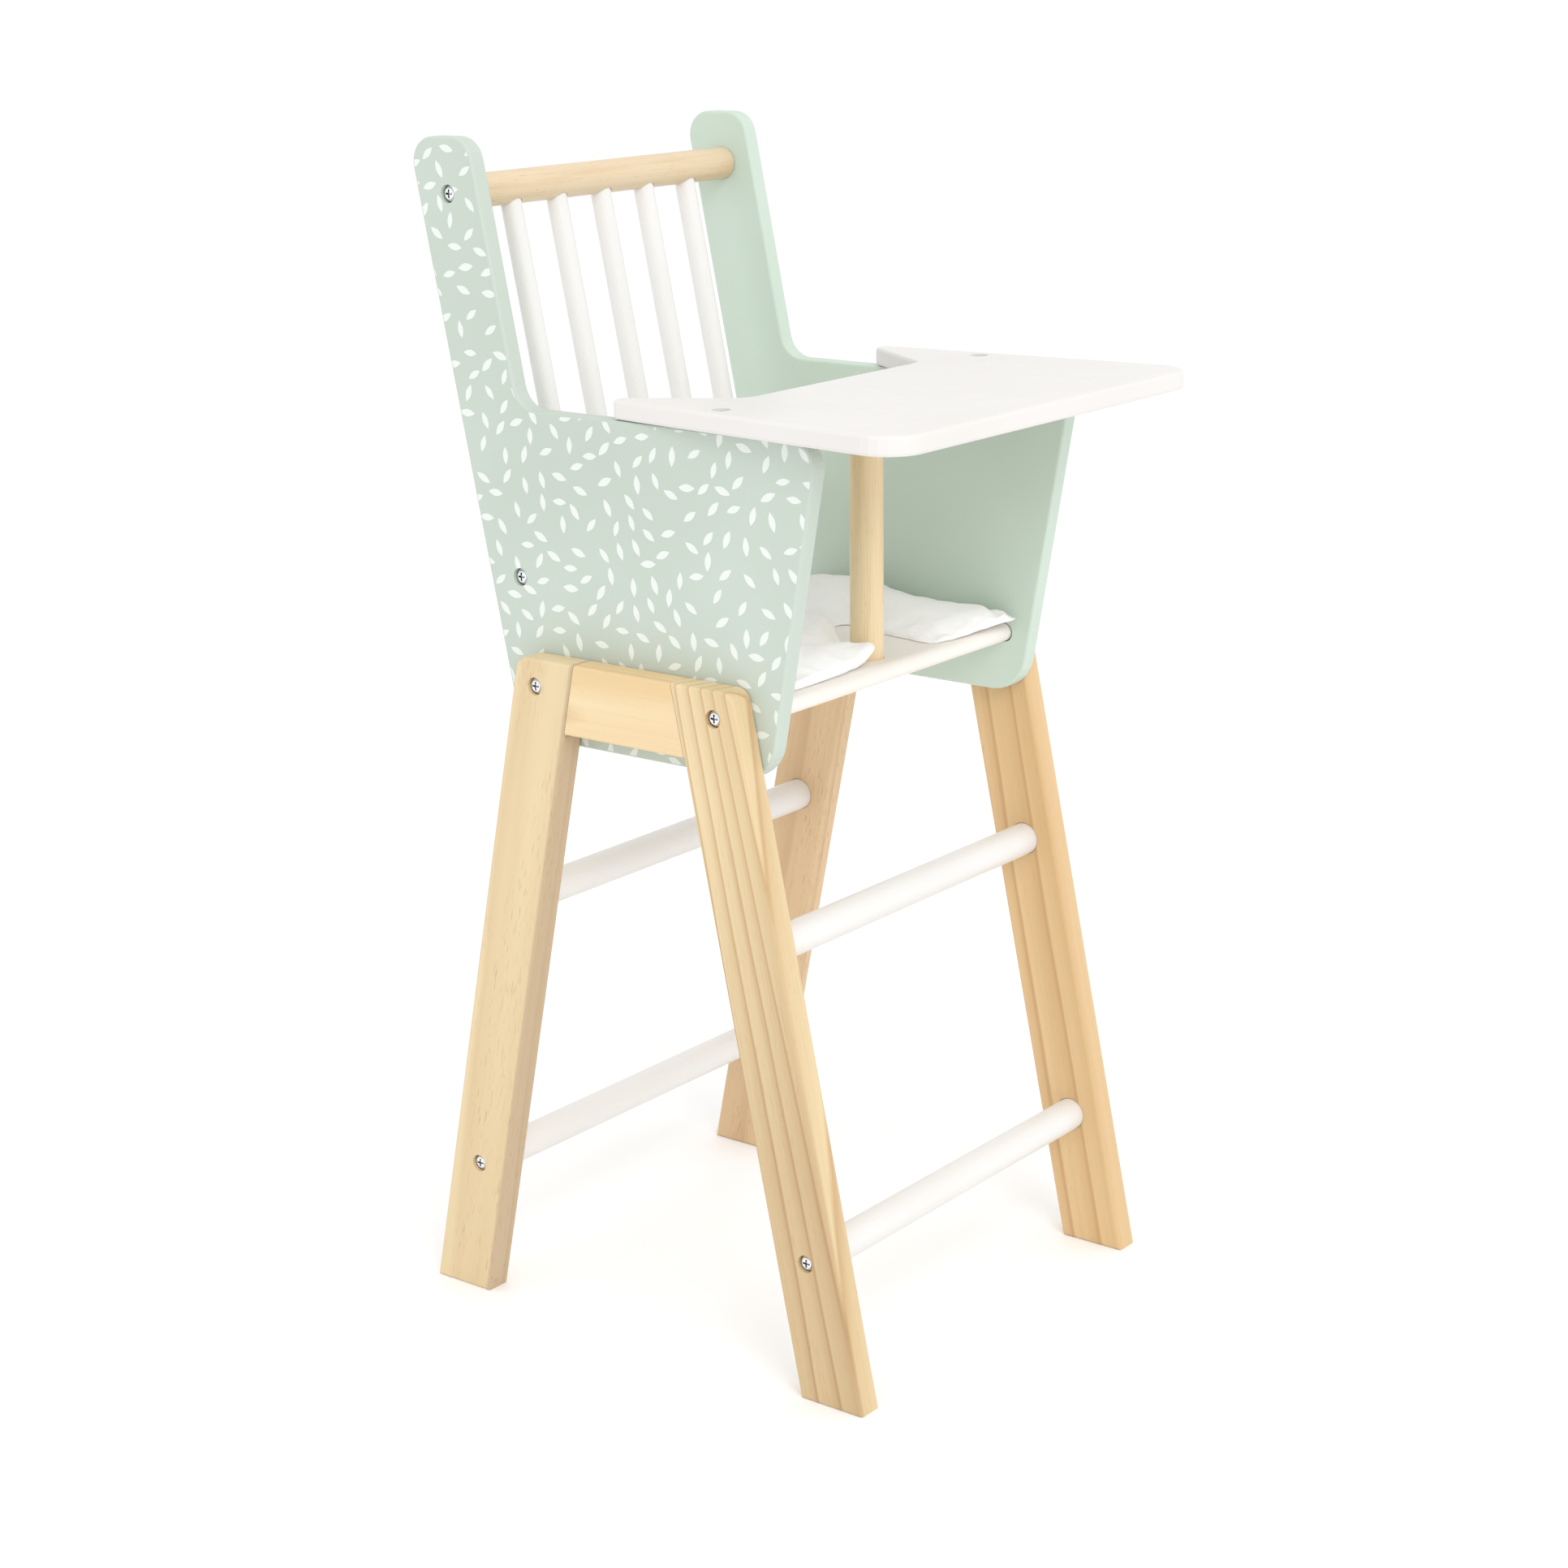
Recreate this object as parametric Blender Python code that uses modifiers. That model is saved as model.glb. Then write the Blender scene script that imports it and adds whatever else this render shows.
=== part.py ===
# Doll high chair, modelled as the real one is put together: two pine A-frames, two painted side
# panels, a back of dowels, a seat board, a tray on a post, a loose seat pad, and its screws.
# Metres, +Z up. The chair stands on the floor at z = 0 and faces -Y.
# Left and right are as seen from the front, so left is -X.

import math

import bmesh
import bpy
from mathutils import Vector

# Fits
FIT_GAP = 0.0003            # between pieces that touch
OVERRUN = 0.002             # how far a cutter runs past the surface it opens
WELD_DISTANCE = 0.00001
SHARP_ANGLE = math.radians(32)

# A-frames: legs and cross rails sawn from one stock
LEAN = math.radians(11.8)   # lean of the legs and of the back, from upright
FRAME_THICKNESS = 0.0135
FRAME_HEIGHT = 0.331
FOOT_SPREAD = 0.265         # front foot to rear foot, outside
LEG_WIDTH = 0.034           # square to the leg
CROSS_RAIL_HEIGHT = 0.034
FRAME_CORNER_RADIUS = 0.007
FRAME_EDGE = 0.0013
TENON_THICKNESS = 0.0045
TENON_HEIGHT = 0.018
TENON_LENGTH = 0.011
TENON_ROOT = 0.012          # how far the tenon's body reaches back into the cross rail

# Side panels
INNER_WIDTH = 0.193         # clear width between the two panels
PANEL_THICKNESS = 0.009
PANEL_EDGE = 0.001
PANEL_HEIGHT = 0.277
PANEL_OVERLAP = 0.043       # how far the panel reaches below the A-frame's top
PANEL_REAR_AT_BOTTOM = 0.0745
PANEL_FRONT_AT_BOTTOM = -0.074
PANEL_FRONT_LEAN = math.radians(10.2)
ARM_RISE = 0.1555           # from the panel's bottom up to the armrest
UPRIGHT_WIDTH = 0.0364      # the back upright, square to its lean
UPRIGHT_TOP_RADIUS = 0.012
ARM_INNER_RADIUS = 0.013
ARM_FRONT_RADIUS = 0.012
PANEL_FOOT_RADIUS = 0.020

# Round bars
DOWEL_RADIUS = 0.008        # rails, stretchers and tray post
SPINDLE_RADIUS = 0.005
SPINDLE_COUNT = 5
SPINDLE_SOCKET = 0.006      # depth in the rail, from the rail's surface
TOP_RAIL_DROP = 0.0256      # rail centre below the panel's top
LOWER_RAIL_RISE = 0.047     # above the middle of the seat board
UPPER_STRETCHER_HEIGHT = 0.210
LOWER_STRETCHER_HEIGHT = 0.068
UPPER_SOCKET = 0.007        # blind hole of an upper stretcher
LOWER_SOCKET = 0.003        # shallow seat of a screwed lower stretcher

# Seat board, let into a blind slot in each panel
SEAT_THICKNESS = 0.009
SEAT_DEPTH = 0.137
SEAT_DROP = 0.0132          # its middle below the A-frames' top
SEAT_SCREW_OFFSET = 0.0042  # outward from the leg's centre line
SLOT_DEPTH = 0.005
SLOT_END_CLEARANCE = 0.001
POST_Y = -0.051
POST_SEAT_SOCKET = 0.004
POST_TRAY_SOCKET = 0.004

# Tray
TRAY_THICKNESS = 0.009
TRAY_EDGE = 0.0015
TRAY_FRONT = -0.156
TRAY_REAR = 0.0135
TRAY_FRONT_OVERHANG = 0.0275    # past the panels' inner faces
TRAY_REAR_OVERHANG = 0.0085
TRAY_FRONT_RADIUS = 0.018
WING_TIP_WIDTH = 0.0075
WING_OUTER_RADIUS = 0.003
WING_INNER_RADIUS = 0.0015
CUTOUT_SIDE = 0.0285        # from a panel's inner face in to the cut-out's corner
CUTOUT_FRONT = -0.0335
CUTOUT_RADIUS = 0.012
TRAY_SCREW_Y = -0.046

# Screws and their threaded inserts
HEAD_RADIUS = 0.0037
HEAD_HEIGHT = 0.0024
HEAD_RIM = 0.0008           # straight rim under the dome
SHANK_RADIUS = 0.00195
THREAD_BITE = 0.008         # length of shank inside the insert
TIP_CHAMFER = 0.0006
RECESS_SPAN = 0.0040
RECESS_WIDTH = 0.0009
RECESS_DEPTH = 0.0014
POCKET_RADIUS = 0.0043
POCKET_DEPTH = 0.0032
INSERT_RADIUS = 0.0028
INSERT_LENGTH = 0.010

# Seat pad: a thin cushion with a notch that lets the tray's post through
PAD_SIDE_GAP = 0.00075
PAD_FRONT = -0.0705
PAD_REAR = 0.061
PAD_CROWN = 0.015           # of the cage, before it is smoothed
PAD_SHOULDER = 0.011        # from the seam in to where the pad is full
PAD_BULGE = 0.012           # of the cage's underside, which the board presses flat
PAD_SEAM_HEIGHT = 0.0045
SEAM_CREASE_SHARE = 0.75
CORNER_CREASE_SHARE = 0.85
PAD_DRAW_IN = 0.003         # how far the sides pull in between the corners
PAD_TIP_LIFT = 0.0052       # the left lobe's corner, which stands up beside the post
PAD_TIP_REACH = 0.004
PAD_TIP_SET_BACK = 0.003
PAD_LEFT_SET_BACK = 0.008   # the pad's left front corner, behind its front
PAD_RIGHT_REACH = 0.005     # its right front corner, past its front
PAD_CORNER_SET_BACK = 0.008 # the right lobe's corner beside the notch
NOTCH_DEPTH = 0.070
NOTCH_WIDTH = 0.050         # at its mouth
NOTCH_CENTRE = 0.010
NOTCH_DRIFT = 0.034         # sideways run of the notch from its mouth to its end
NOTCH_ROW_SHARES = (0, 0.36, 0.7, 1)
NOTCH_WIDTH_SHARES = (1, 1.02, 0.6, 0.36)

# Facets
ARC_STEP = math.radians(13)
EDGE_STEPS = 1
DOWEL_FACETS = 36
SPINDLE_FACETS = 24
BORE_FACETS = 20
SCREW_FACETS = 12
INSERT_FACETS = 10
DOME_STEPS = 2
PAD_SMOOTHING = 2

# Derived places, measured from the middle of the A-frames
INNER_HALF = INNER_WIDTH / 2
PANEL_OUTER = INNER_HALF + PANEL_THICKNESS
FRAME_INNER = PANEL_OUTER + FIT_GAP
FRAME_OUTER = FRAME_INNER + FRAME_THICKNESS
LEG_RUN = LEG_WIDTH / math.cos(LEAN)
UPRIGHT_RUN = UPRIGHT_WIDTH / math.cos(LEAN)
CROSS_RAIL_BOTTOM = FRAME_HEIGHT - CROSS_RAIL_HEIGHT
PANEL_BOTTOM = FRAME_HEIGHT - PANEL_OVERLAP
PANEL_TOP = PANEL_BOTTOM + PANEL_HEIGHT
ARM_HEIGHT = PANEL_BOTTOM + ARM_RISE
SEAT_CENTRE_HEIGHT = FRAME_HEIGHT - SEAT_DROP
SEAT_TOP = SEAT_CENTRE_HEIGHT + SEAT_THICKNESS / 2
TOP_RAIL_HEIGHT = PANEL_TOP - TOP_RAIL_DROP
LOWER_RAIL_HEIGHT = SEAT_CENTRE_HEIGHT + LOWER_RAIL_RISE
TRAY_BOTTOM = ARM_HEIGHT + FIT_GAP
TRAY_TOP = TRAY_BOTTOM + TRAY_THICKNESS

SIDES = (("left", -1), ("right", 1))
ENDS = (("front", -1), ("rear", 1))
ALONG_X = Vector((1, 0, 0))
ALONG_Z = Vector((0, 0, 1))
STAND_IN_YZ = (math.pi / 2, 0, math.pi / 2)
LIE_FLAT = (0, 0, 0)

# Finishes: base colour, roughness, metallic
PINE = ((0.86, 0.66, 0.40), 0.55, 0.0)
BEECH = ((0.83, 0.64, 0.40), 0.50, 0.0)
SAGE = ((0.55, 0.67, 0.57), 0.55, 0.0)
WHITE = ((0.90, 0.89, 0.86), 0.45, 0.0)
COTTON = ((0.92, 0.92, 0.91), 0.95, 0.0)
ZINC = ((0.72, 0.74, 0.76), 0.30, 1.0)
BRASS = ((0.72, 0.55, 0.26), 0.35, 1.0)


def clear_scene():
    for old in list(bpy.data.objects):
        bpy.data.objects.remove(old, do_unlink=True)


def new_collection(name):
    collection = bpy.data.collections.new(name)
    bpy.context.scene.collection.children.link(collection)
    return collection


def new_middle(collection):
    """The middle of the A-frames on the floor, set so that the whole chair's box is centred.

    The tray reaches furthest forward and the rear feet furthest back.
    """
    middle = bpy.data.objects.new("chair_middle", None)
    middle.location = (0, -(FOOT_SPREAD / 2 + TRAY_FRONT) / 2, 0)
    collection.objects.link(middle)
    return middle


clear_scene()
CHAIR = new_collection("doll_high_chair")
CUTTERS = new_collection("cutters")
MIDDLE = new_middle(CHAIR)


def add_object(name, data, collection, location=(0, 0, 0), rotation=LIE_FLAT):
    """An object placed from the middle of the A-frames."""
    thing = bpy.data.objects.new(name, data)
    thing.parent = MIDDLE
    thing.location = location
    thing.rotation_euler = rotation
    collection.objects.link(thing)
    if collection is CUTTERS:
        thing.hide_render = True
        thing.display_type = "WIRE"
    bpy.context.view_layer.update()
    return thing


def evaluated_mesh(thing):
    graph = bpy.context.evaluated_depsgraph_get()
    return bpy.data.meshes.new_from_object(thing.evaluated_get(graph))


def weld(mesh):
    shape = bmesh.new()
    shape.from_mesh(mesh)
    bmesh.ops.remove_doubles(shape, verts=shape.verts, dist=WELD_DISTANCE)
    bmesh.ops.recalc_face_normals(shape, faces=shape.faces)
    shape.to_mesh(mesh)
    shape.free()


def set_finish(thing, finish):
    colour, roughness, metallic = finish
    material = bpy.data.materials.new(thing.name + "_finish")
    material.use_nodes = True
    shader = material.node_tree.nodes["Principled BSDF"]
    shader.inputs["Base Color"].default_value = (*colour, 1)
    shader.inputs["Roughness"].default_value = roughness
    shader.inputs["Metallic"].default_value = metallic
    material.diffuse_color = (*colour, 1)
    thing.data.materials.clear()
    thing.data.materials.append(material)


def settle(thing, finish):
    """Apply the cuts, shade round what is round, and give the piece its finish."""
    mesh = evaluated_mesh(thing)
    thing.modifiers.clear()
    thing.data = mesh
    mesh.shade_smooth()
    mesh.set_sharp_from_angle(angle=SHARP_ANGLE)
    set_finish(thing, finish)
    return thing


def corner_arc(before, corner, after, radius):
    """Points of the arc that rounds one corner, between the two straight sides."""
    corner = Vector(corner)
    back = (Vector(before) - corner).normalized()
    ahead = (Vector(after) - corner).normalized()
    half_angle = back.angle(ahead) / 2
    centre = corner + (back + ahead).normalized() * radius / math.sin(half_angle)
    start = corner + back * radius / math.tan(half_angle) - centre
    turn = math.pi - 2 * half_angle
    if back.cross(ahead) > 0:
        turn = -turn
    steps = max(2, round(abs(turn) / ARC_STEP))
    points = []
    for step in range(steps + 1):
        cosine = math.cos(turn * step / steps)
        sine = math.sin(turn * step / steps)
        spoke = Vector((start.x * cosine - start.y * sine, start.x * sine + start.y * cosine))
        points.append(centre + spoke)
    return points


def rounded_outline(corners):
    """A closed outline from (u, v, radius) corners; a radius of zero stays sharp."""
    outline = []
    for index, (u, v, radius) in enumerate(corners):
        before = corners[index - 1][:2]
        after = corners[(index + 1) % len(corners)][:2]
        found = corner_arc(before, (u, v), after, radius) if radius else [Vector((u, v))]
        for point in found:
            if not outline or (point - outline[-1]).length > WELD_DISTANCE:
                outline.append(point)
    if (outline[0] - outline[-1]).length <= WELD_DISTANCE:
        outline.pop()
    return outline


def flat_board(name, corners, thickness, edge, location, rotation, collection):
    """A board of even thickness from a flat outline, its edges rounded by the size given."""
    curve = bpy.data.curves.new(name, "CURVE")
    curve.dimensions = "2D"
    curve.fill_mode = "BOTH"
    curve.extrude = thickness / 2 - edge
    curve.bevel_depth = edge
    curve.bevel_resolution = EDGE_STEPS
    curve.offset = -edge
    outline = rounded_outline(corners)
    spline = curve.splines.new("POLY")
    spline.points.add(len(outline) - 1)
    for target, point in zip(spline.points, outline):
        target.co = (point.x, point.y, 0, 1)
    spline.use_cyclic_u = True
    drawn = add_object(name + "_outline", curve, collection, location, rotation)
    mesh = evaluated_mesh(drawn)
    weld(mesh)
    board = add_object(name, mesh, collection)
    board.matrix_world = drawn.matrix_world.copy()
    bpy.data.objects.remove(drawn, do_unlink=True)
    bpy.context.view_layer.update()
    return board


def upright_board(name, corners, thickness, edge, x, collection):
    """A board that stands in the YZ plane, its middle at x; the outline's corners are (y, z)."""
    return flat_board(name, corners, thickness, edge, (x, 0, 0), STAND_IN_YZ, collection)


def round_bar(name, radius, start, end, facets, collection):
    """A straight cylinder between two points."""
    axis = end - start
    mesh = bpy.data.meshes.new(name)
    shape = bmesh.new()
    bmesh.ops.create_cone(shape, cap_ends=True, segments=facets, radius1=radius, radius2=radius,
                          depth=axis.length)
    shape.to_mesh(mesh)
    shape.free()
    rotation = axis.to_track_quat("Z", "Y").to_euler()
    return add_object(name, mesh, collection, (start + end) / 2, rotation)


def block(name, size, location, collection):
    mesh = bpy.data.meshes.new(name)
    shape = bmesh.new()
    bmesh.ops.create_cube(shape, size=1)
    bmesh.ops.scale(shape, vec=size, verts=shape.verts)
    shape.to_mesh(mesh)
    shape.free()
    return add_object(name, mesh, collection, location)


def turned(name, profile, closed, facets, collection):
    """A piece turned round Z from (radius, height) points that run down its outer side."""
    mesh = bpy.data.meshes.new(name)
    shape = bmesh.new()
    points = [shape.verts.new((radius, 0, height)) for radius, height in profile]
    for first, second in zip(points, points[1:]):
        shape.edges.new((first, second))
    if closed:
        shape.edges.new((points[-1], points[0]))
    shape.to_mesh(mesh)
    shape.free()
    piece = add_object(name, mesh, collection)
    spin = piece.modifiers.new("turn", "SCREW")
    spin.axis = "Z"
    spin.steps = facets
    spin.render_steps = facets
    spin.use_merge_vertices = True
    spin.merge_threshold = WELD_DISTANCE
    join = piece.modifiers.new("join", "WELD")
    join.merge_threshold = WELD_DISTANCE
    return piece


def cut(piece, cutter, operation="DIFFERENCE"):
    change = piece.modifiers.new(cutter.name, "BOOLEAN")
    change.operation = operation
    change.object = cutter


def bore(piece, name, origin, direction, radius, near, far):
    """Cut a round hole that runs from near to far along a direction from its origin."""
    cutter = round_bar(name, radius, origin + direction * near, origin + direction * far,
                       BORE_FACETS, CUTTERS)
    cut(piece, cutter)


def bore_for_screw(piece, name, head_point, direction, thickness):
    """The pocket for a screw's head and the clear hole for its shank, through one piece."""
    bore(piece, name + "_pocket", head_point, direction, POCKET_RADIUS, -OVERRUN, POCKET_DEPTH)
    bore(piece, name + "_hole", head_point, direction, SHANK_RADIUS + FIT_GAP,
         POCKET_DEPTH - OVERRUN, thickness + OVERRUN)


def bore_for_insert(piece, name, mouth, direction):
    bore(piece, name + "_seat", mouth, direction, INSERT_RADIUS + FIT_GAP,
         -OVERRUN, INSERT_LENGTH + 2 * FIT_GAP)


SCREW_MESHES = {}
INSERT_MESHES = []


def dome_profile():
    """The head's round top, from its middle out to the rim."""
    dome = HEAD_HEIGHT - HEAD_RIM
    quarter = [math.pi / 2 * step / DOME_STEPS for step in range(DOME_STEPS + 1)]
    return [(HEAD_RADIUS * math.sin(angle), HEAD_RIM + dome * math.cos(angle)) for angle in quarter]


def screw_mesh(grip):
    """A pan-head screw with a cross recess; its head's underside is at z = 0."""
    if grip in SCREW_MESHES:
        return SCREW_MESHES[grip]
    tip = -(grip + THREAD_BITE)
    profile = dome_profile() + [
        (HEAD_RADIUS, 0),
        (SHANK_RADIUS, 0),
        (SHANK_RADIUS, tip + TIP_CHAMFER),
        (SHANK_RADIUS - TIP_CHAMFER, tip),
        (0, tip),
    ]
    shape = turned("screw", profile, False, SCREW_FACETS, CHAIR)
    height = RECESS_DEPTH + OVERRUN
    middle = Vector((0, 0, HEAD_HEIGHT - RECESS_DEPTH + height / 2))
    cut(shape, block("recess_along_x", (RECESS_SPAN, RECESS_WIDTH, height), middle, CUTTERS))
    cut(shape, block("recess_along_y", (RECESS_WIDTH, RECESS_SPAN, height), middle, CUTTERS))
    SCREW_MESHES[grip] = evaluated_mesh(shape)
    bpy.data.objects.remove(shape, do_unlink=True)
    return SCREW_MESHES[grip]


def insert_mesh():
    """A threaded insert, its mouth at z = 0 and its body below."""
    if not INSERT_MESHES:
        inside = SHANK_RADIUS + FIT_GAP
        profile = ((INSERT_RADIUS, 0), (INSERT_RADIUS, -INSERT_LENGTH),
                   (inside, -INSERT_LENGTH), (inside, 0))
        ring = turned("insert", profile, True, INSERT_FACETS, CHAIR)
        INSERT_MESHES.append(evaluated_mesh(ring))
        bpy.data.objects.remove(ring, do_unlink=True)
    return INSERT_MESHES[0]


def fasten(name, outer, inner, head_point, direction, thickness, reach):
    """Screw the outer piece to the inner one: their holes, the screw and its insert.

    The head enters at head_point; thickness is the outer piece's, and reach is the depth at
    which the inner piece begins.
    """
    bore_for_screw(outer, name, head_point, direction, thickness)
    mouth = head_point + direction * reach
    bore_for_insert(inner, name, mouth, direction)
    rotation = (-direction).to_track_quat("Z", "Y").to_euler()
    under_head = POCKET_DEPTH - FIT_GAP
    grip = reach + FIT_GAP - under_head
    screw = add_object(name + "_screw", screw_mesh(grip).copy(), CHAIR,
                       head_point + direction * under_head, rotation)
    settle(screw, ZINC)
    insert = add_object(name + "_insert", insert_mesh().copy(), CHAIR,
                        mouth + direction * FIT_GAP, rotation)
    settle(insert, BRASS)


def leg_centre(height):
    """Distance of a leg's centre line from the middle, at a height."""
    return FOOT_SPREAD / 2 - LEG_RUN / 2 - height * math.tan(LEAN)


def joint_line(height):
    """Where a cross rail meets a leg: the leg's inner side, carried on upward."""
    return leg_centre(height) - LEG_RUN / 2


def panel_rear(height):
    return PANEL_REAR_AT_BOTTOM + (height - PANEL_BOTTOM) * math.tan(LEAN)


def back_centre(height):
    """The back's centre line, in the middle of the panels' uprights."""
    return panel_rear(height) - UPRIGHT_RUN / 2


def frame_blank(name, x):
    """The whole A-frame in one piece, to be parted into legs and cross rail."""
    foot = FOOT_SPREAD / 2
    top = foot - FRAME_HEIGHT * math.tan(LEAN)
    inside_foot = joint_line(0)
    crotch = joint_line(CROSS_RAIL_BOTTOM)
    corners = (
        (-foot, 0, 0),
        (-inside_foot, 0, 0),
        (-crotch, CROSS_RAIL_BOTTOM, 0),
        (crotch, CROSS_RAIL_BOTTOM, 0),
        (inside_foot, 0, 0),
        (foot, 0, 0),
        (top, FRAME_HEIGHT, FRAME_CORNER_RADIUS),
        (-top, FRAME_HEIGHT, FRAME_CORNER_RADIUS),
    )
    return upright_board(name, corners, FRAME_THICKNESS, FRAME_EDGE, x, CHAIR)


def tenon_block(name, x, end, clearance):
    """The tenon at one end of a cross rail, or with a clearance the mortise that takes it."""
    height = CROSS_RAIL_BOTTOM + CROSS_RAIL_HEIGHT / 2
    root = joint_line(height) - TENON_ROOT
    tip = joint_line(height) + TENON_LENGTH + clearance
    size = (TENON_THICKNESS + 2 * clearance, tip - root, TENON_HEIGHT + 2 * clearance)
    return block(name, size, (x, end * (root + tip) / 2, height), CUTTERS)


def make_leg(side, sign, end_name, end):
    x = sign * (FRAME_INNER + FRAME_THICKNESS / 2)
    leg = frame_blank(f"{side}_{end_name}_leg", x)
    low = CROSS_RAIL_BOTTOM - FRAME_EDGE
    high = FRAME_HEIGHT + OVERRUN
    beyond = -end * (FOOT_SPREAD / 2 + OVERRUN)
    waste = (
        (beyond, -OVERRUN, 0),
        (0, -OVERRUN, 0),
        (0, low, 0),
        (end * (joint_line(low) + FIT_GAP / 2), low, 0),
        (end * (joint_line(high) + FIT_GAP / 2), high, 0),
        (beyond, high, 0),
    )
    cut(leg, upright_board(leg.name + "_waste", waste, FRAME_THICKNESS + 2 * OVERRUN, 0, x, CUTTERS))
    cut(leg, tenon_block(leg.name + "_mortise", x, end, FIT_GAP))
    for height, depth in ((UPPER_STRETCHER_HEIGHT, UPPER_SOCKET), (LOWER_STRETCHER_HEIGHT, LOWER_SOCKET)):
        mouth = Vector((sign * FRAME_INNER, end * leg_centre(height), height))
        bore(leg, leg.name + "_socket", mouth, sign * ALONG_X, DOWEL_RADIUS + FIT_GAP, -OVERRUN, depth)
    return leg


def make_cross_rail(side, sign):
    x = sign * (FRAME_INNER + FRAME_THICKNESS / 2)
    rail = frame_blank(f"{side}_cross_rail", x)
    low = CROSS_RAIL_BOTTOM - OVERRUN
    high = FRAME_HEIGHT + OVERRUN
    low_half = joint_line(low) - FIT_GAP / 2
    high_half = joint_line(high) - FIT_GAP / 2
    kept = ((-low_half, low, 0), (low_half, low, 0), (high_half, high, 0), (-high_half, high, 0))
    keeper = upright_board(rail.name + "_kept", kept, FRAME_THICKNESS + 2 * OVERRUN, 0, x, CUTTERS)
    cut(rail, keeper, "INTERSECT")
    for end_name, end in ENDS:
        cut(rail, tenon_block(f"{rail.name}_{end_name}_tenon", x, end, 0), "UNION")
    return rail


def seat_section(end_clearance, face_clearance):
    """The seat board's section with its round front and back edges, or its slot's."""
    half_depth = SEAT_DEPTH / 2 + end_clearance
    half_height = SEAT_THICKNESS / 2 + face_clearance
    low = SEAT_CENTRE_HEIGHT - half_height
    high = SEAT_CENTRE_HEIGHT + half_height
    return ((-half_depth, low, half_height), (half_depth, low, half_height),
            (half_depth, high, half_height), (-half_depth, high, half_height))


def make_panel(side, sign):
    arm_front = PANEL_FRONT_AT_BOTTOM - (ARM_HEIGHT - PANEL_BOTTOM) * math.tan(PANEL_FRONT_LEAN)
    corners = (
        (PANEL_FRONT_AT_BOTTOM, PANEL_BOTTOM, PANEL_FOOT_RADIUS),
        (PANEL_REAR_AT_BOTTOM, PANEL_BOTTOM, PANEL_FOOT_RADIUS),
        (panel_rear(PANEL_TOP), PANEL_TOP, UPRIGHT_TOP_RADIUS),
        (panel_rear(PANEL_TOP) - UPRIGHT_RUN, PANEL_TOP, UPRIGHT_TOP_RADIUS),
        (panel_rear(ARM_HEIGHT) - UPRIGHT_RUN, ARM_HEIGHT, ARM_INNER_RADIUS),
        (arm_front, ARM_HEIGHT, ARM_FRONT_RADIUS),
    )
    x = sign * (INNER_HALF + PANEL_THICKNESS / 2)
    panel = upright_board(f"{side}_panel", corners, PANEL_THICKNESS, PANEL_EDGE, x, CHAIR)
    slot = seat_section(SLOT_END_CLEARANCE, FIT_GAP)
    slot_x = sign * (INNER_HALF + (SLOT_DEPTH - OVERRUN) / 2)
    cut(panel, upright_board(f"{side}_seat_slot", slot, SLOT_DEPTH + OVERRUN, 0, slot_x, CUTTERS))
    return panel


def make_seat():
    length = 2 * (INNER_HALF + SLOT_DEPTH - FIT_GAP)
    seat = upright_board("seat_board", seat_section(0, 0), length, 0, 0, CHAIR)
    top = Vector((0, POST_Y, SEAT_TOP))
    bore(seat, "seat_post_socket", top, -ALONG_Z, DOWEL_RADIUS + FIT_GAP, -OVERRUN, POST_SEAT_SOCKET)
    return seat


def make_tray():
    half_front = INNER_HALF + TRAY_FRONT_OVERHANG
    half_rear = INNER_HALF + TRAY_REAR_OVERHANG
    right_side = (
        (half_front, TRAY_FRONT, TRAY_FRONT_RADIUS),
        (half_rear, TRAY_REAR, WING_OUTER_RADIUS),
        (half_rear - WING_TIP_WIDTH, TRAY_REAR, WING_INNER_RADIUS),
        (INNER_HALF - CUTOUT_SIDE, CUTOUT_FRONT, CUTOUT_RADIUS),
    )
    left_side = tuple((-x, y, radius) for x, y, radius in reversed(right_side))
    tray = flat_board("tray", right_side + left_side, TRAY_THICKNESS, TRAY_EDGE,
                      (0, 0, TRAY_BOTTOM + TRAY_THICKNESS / 2), LIE_FLAT, CHAIR)
    under = Vector((0, POST_Y, TRAY_BOTTOM))
    bore(tray, "tray_post_socket", under, ALONG_Z, DOWEL_RADIUS + FIT_GAP, -OVERRUN, POST_TRAY_SOCKET)
    return tray


def make_post():
    low = SEAT_TOP - POST_SEAT_SOCKET + FIT_GAP
    high = TRAY_BOTTOM + POST_TRAY_SOCKET - FIT_GAP
    post = round_bar("tray_post", DOWEL_RADIUS, Vector((0, POST_Y, low)), Vector((0, POST_Y, high)),
                     DOWEL_FACETS, CHAIR)
    settle(post, BEECH)


def cross_bar(name, half_length, y, height):
    """A dowel across the chair, centred on it."""
    end = Vector((half_length, y, height))
    return round_bar(name, DOWEL_RADIUS, Vector((-half_length, y, height)), end, DOWEL_FACETS, CHAIR)


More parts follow.
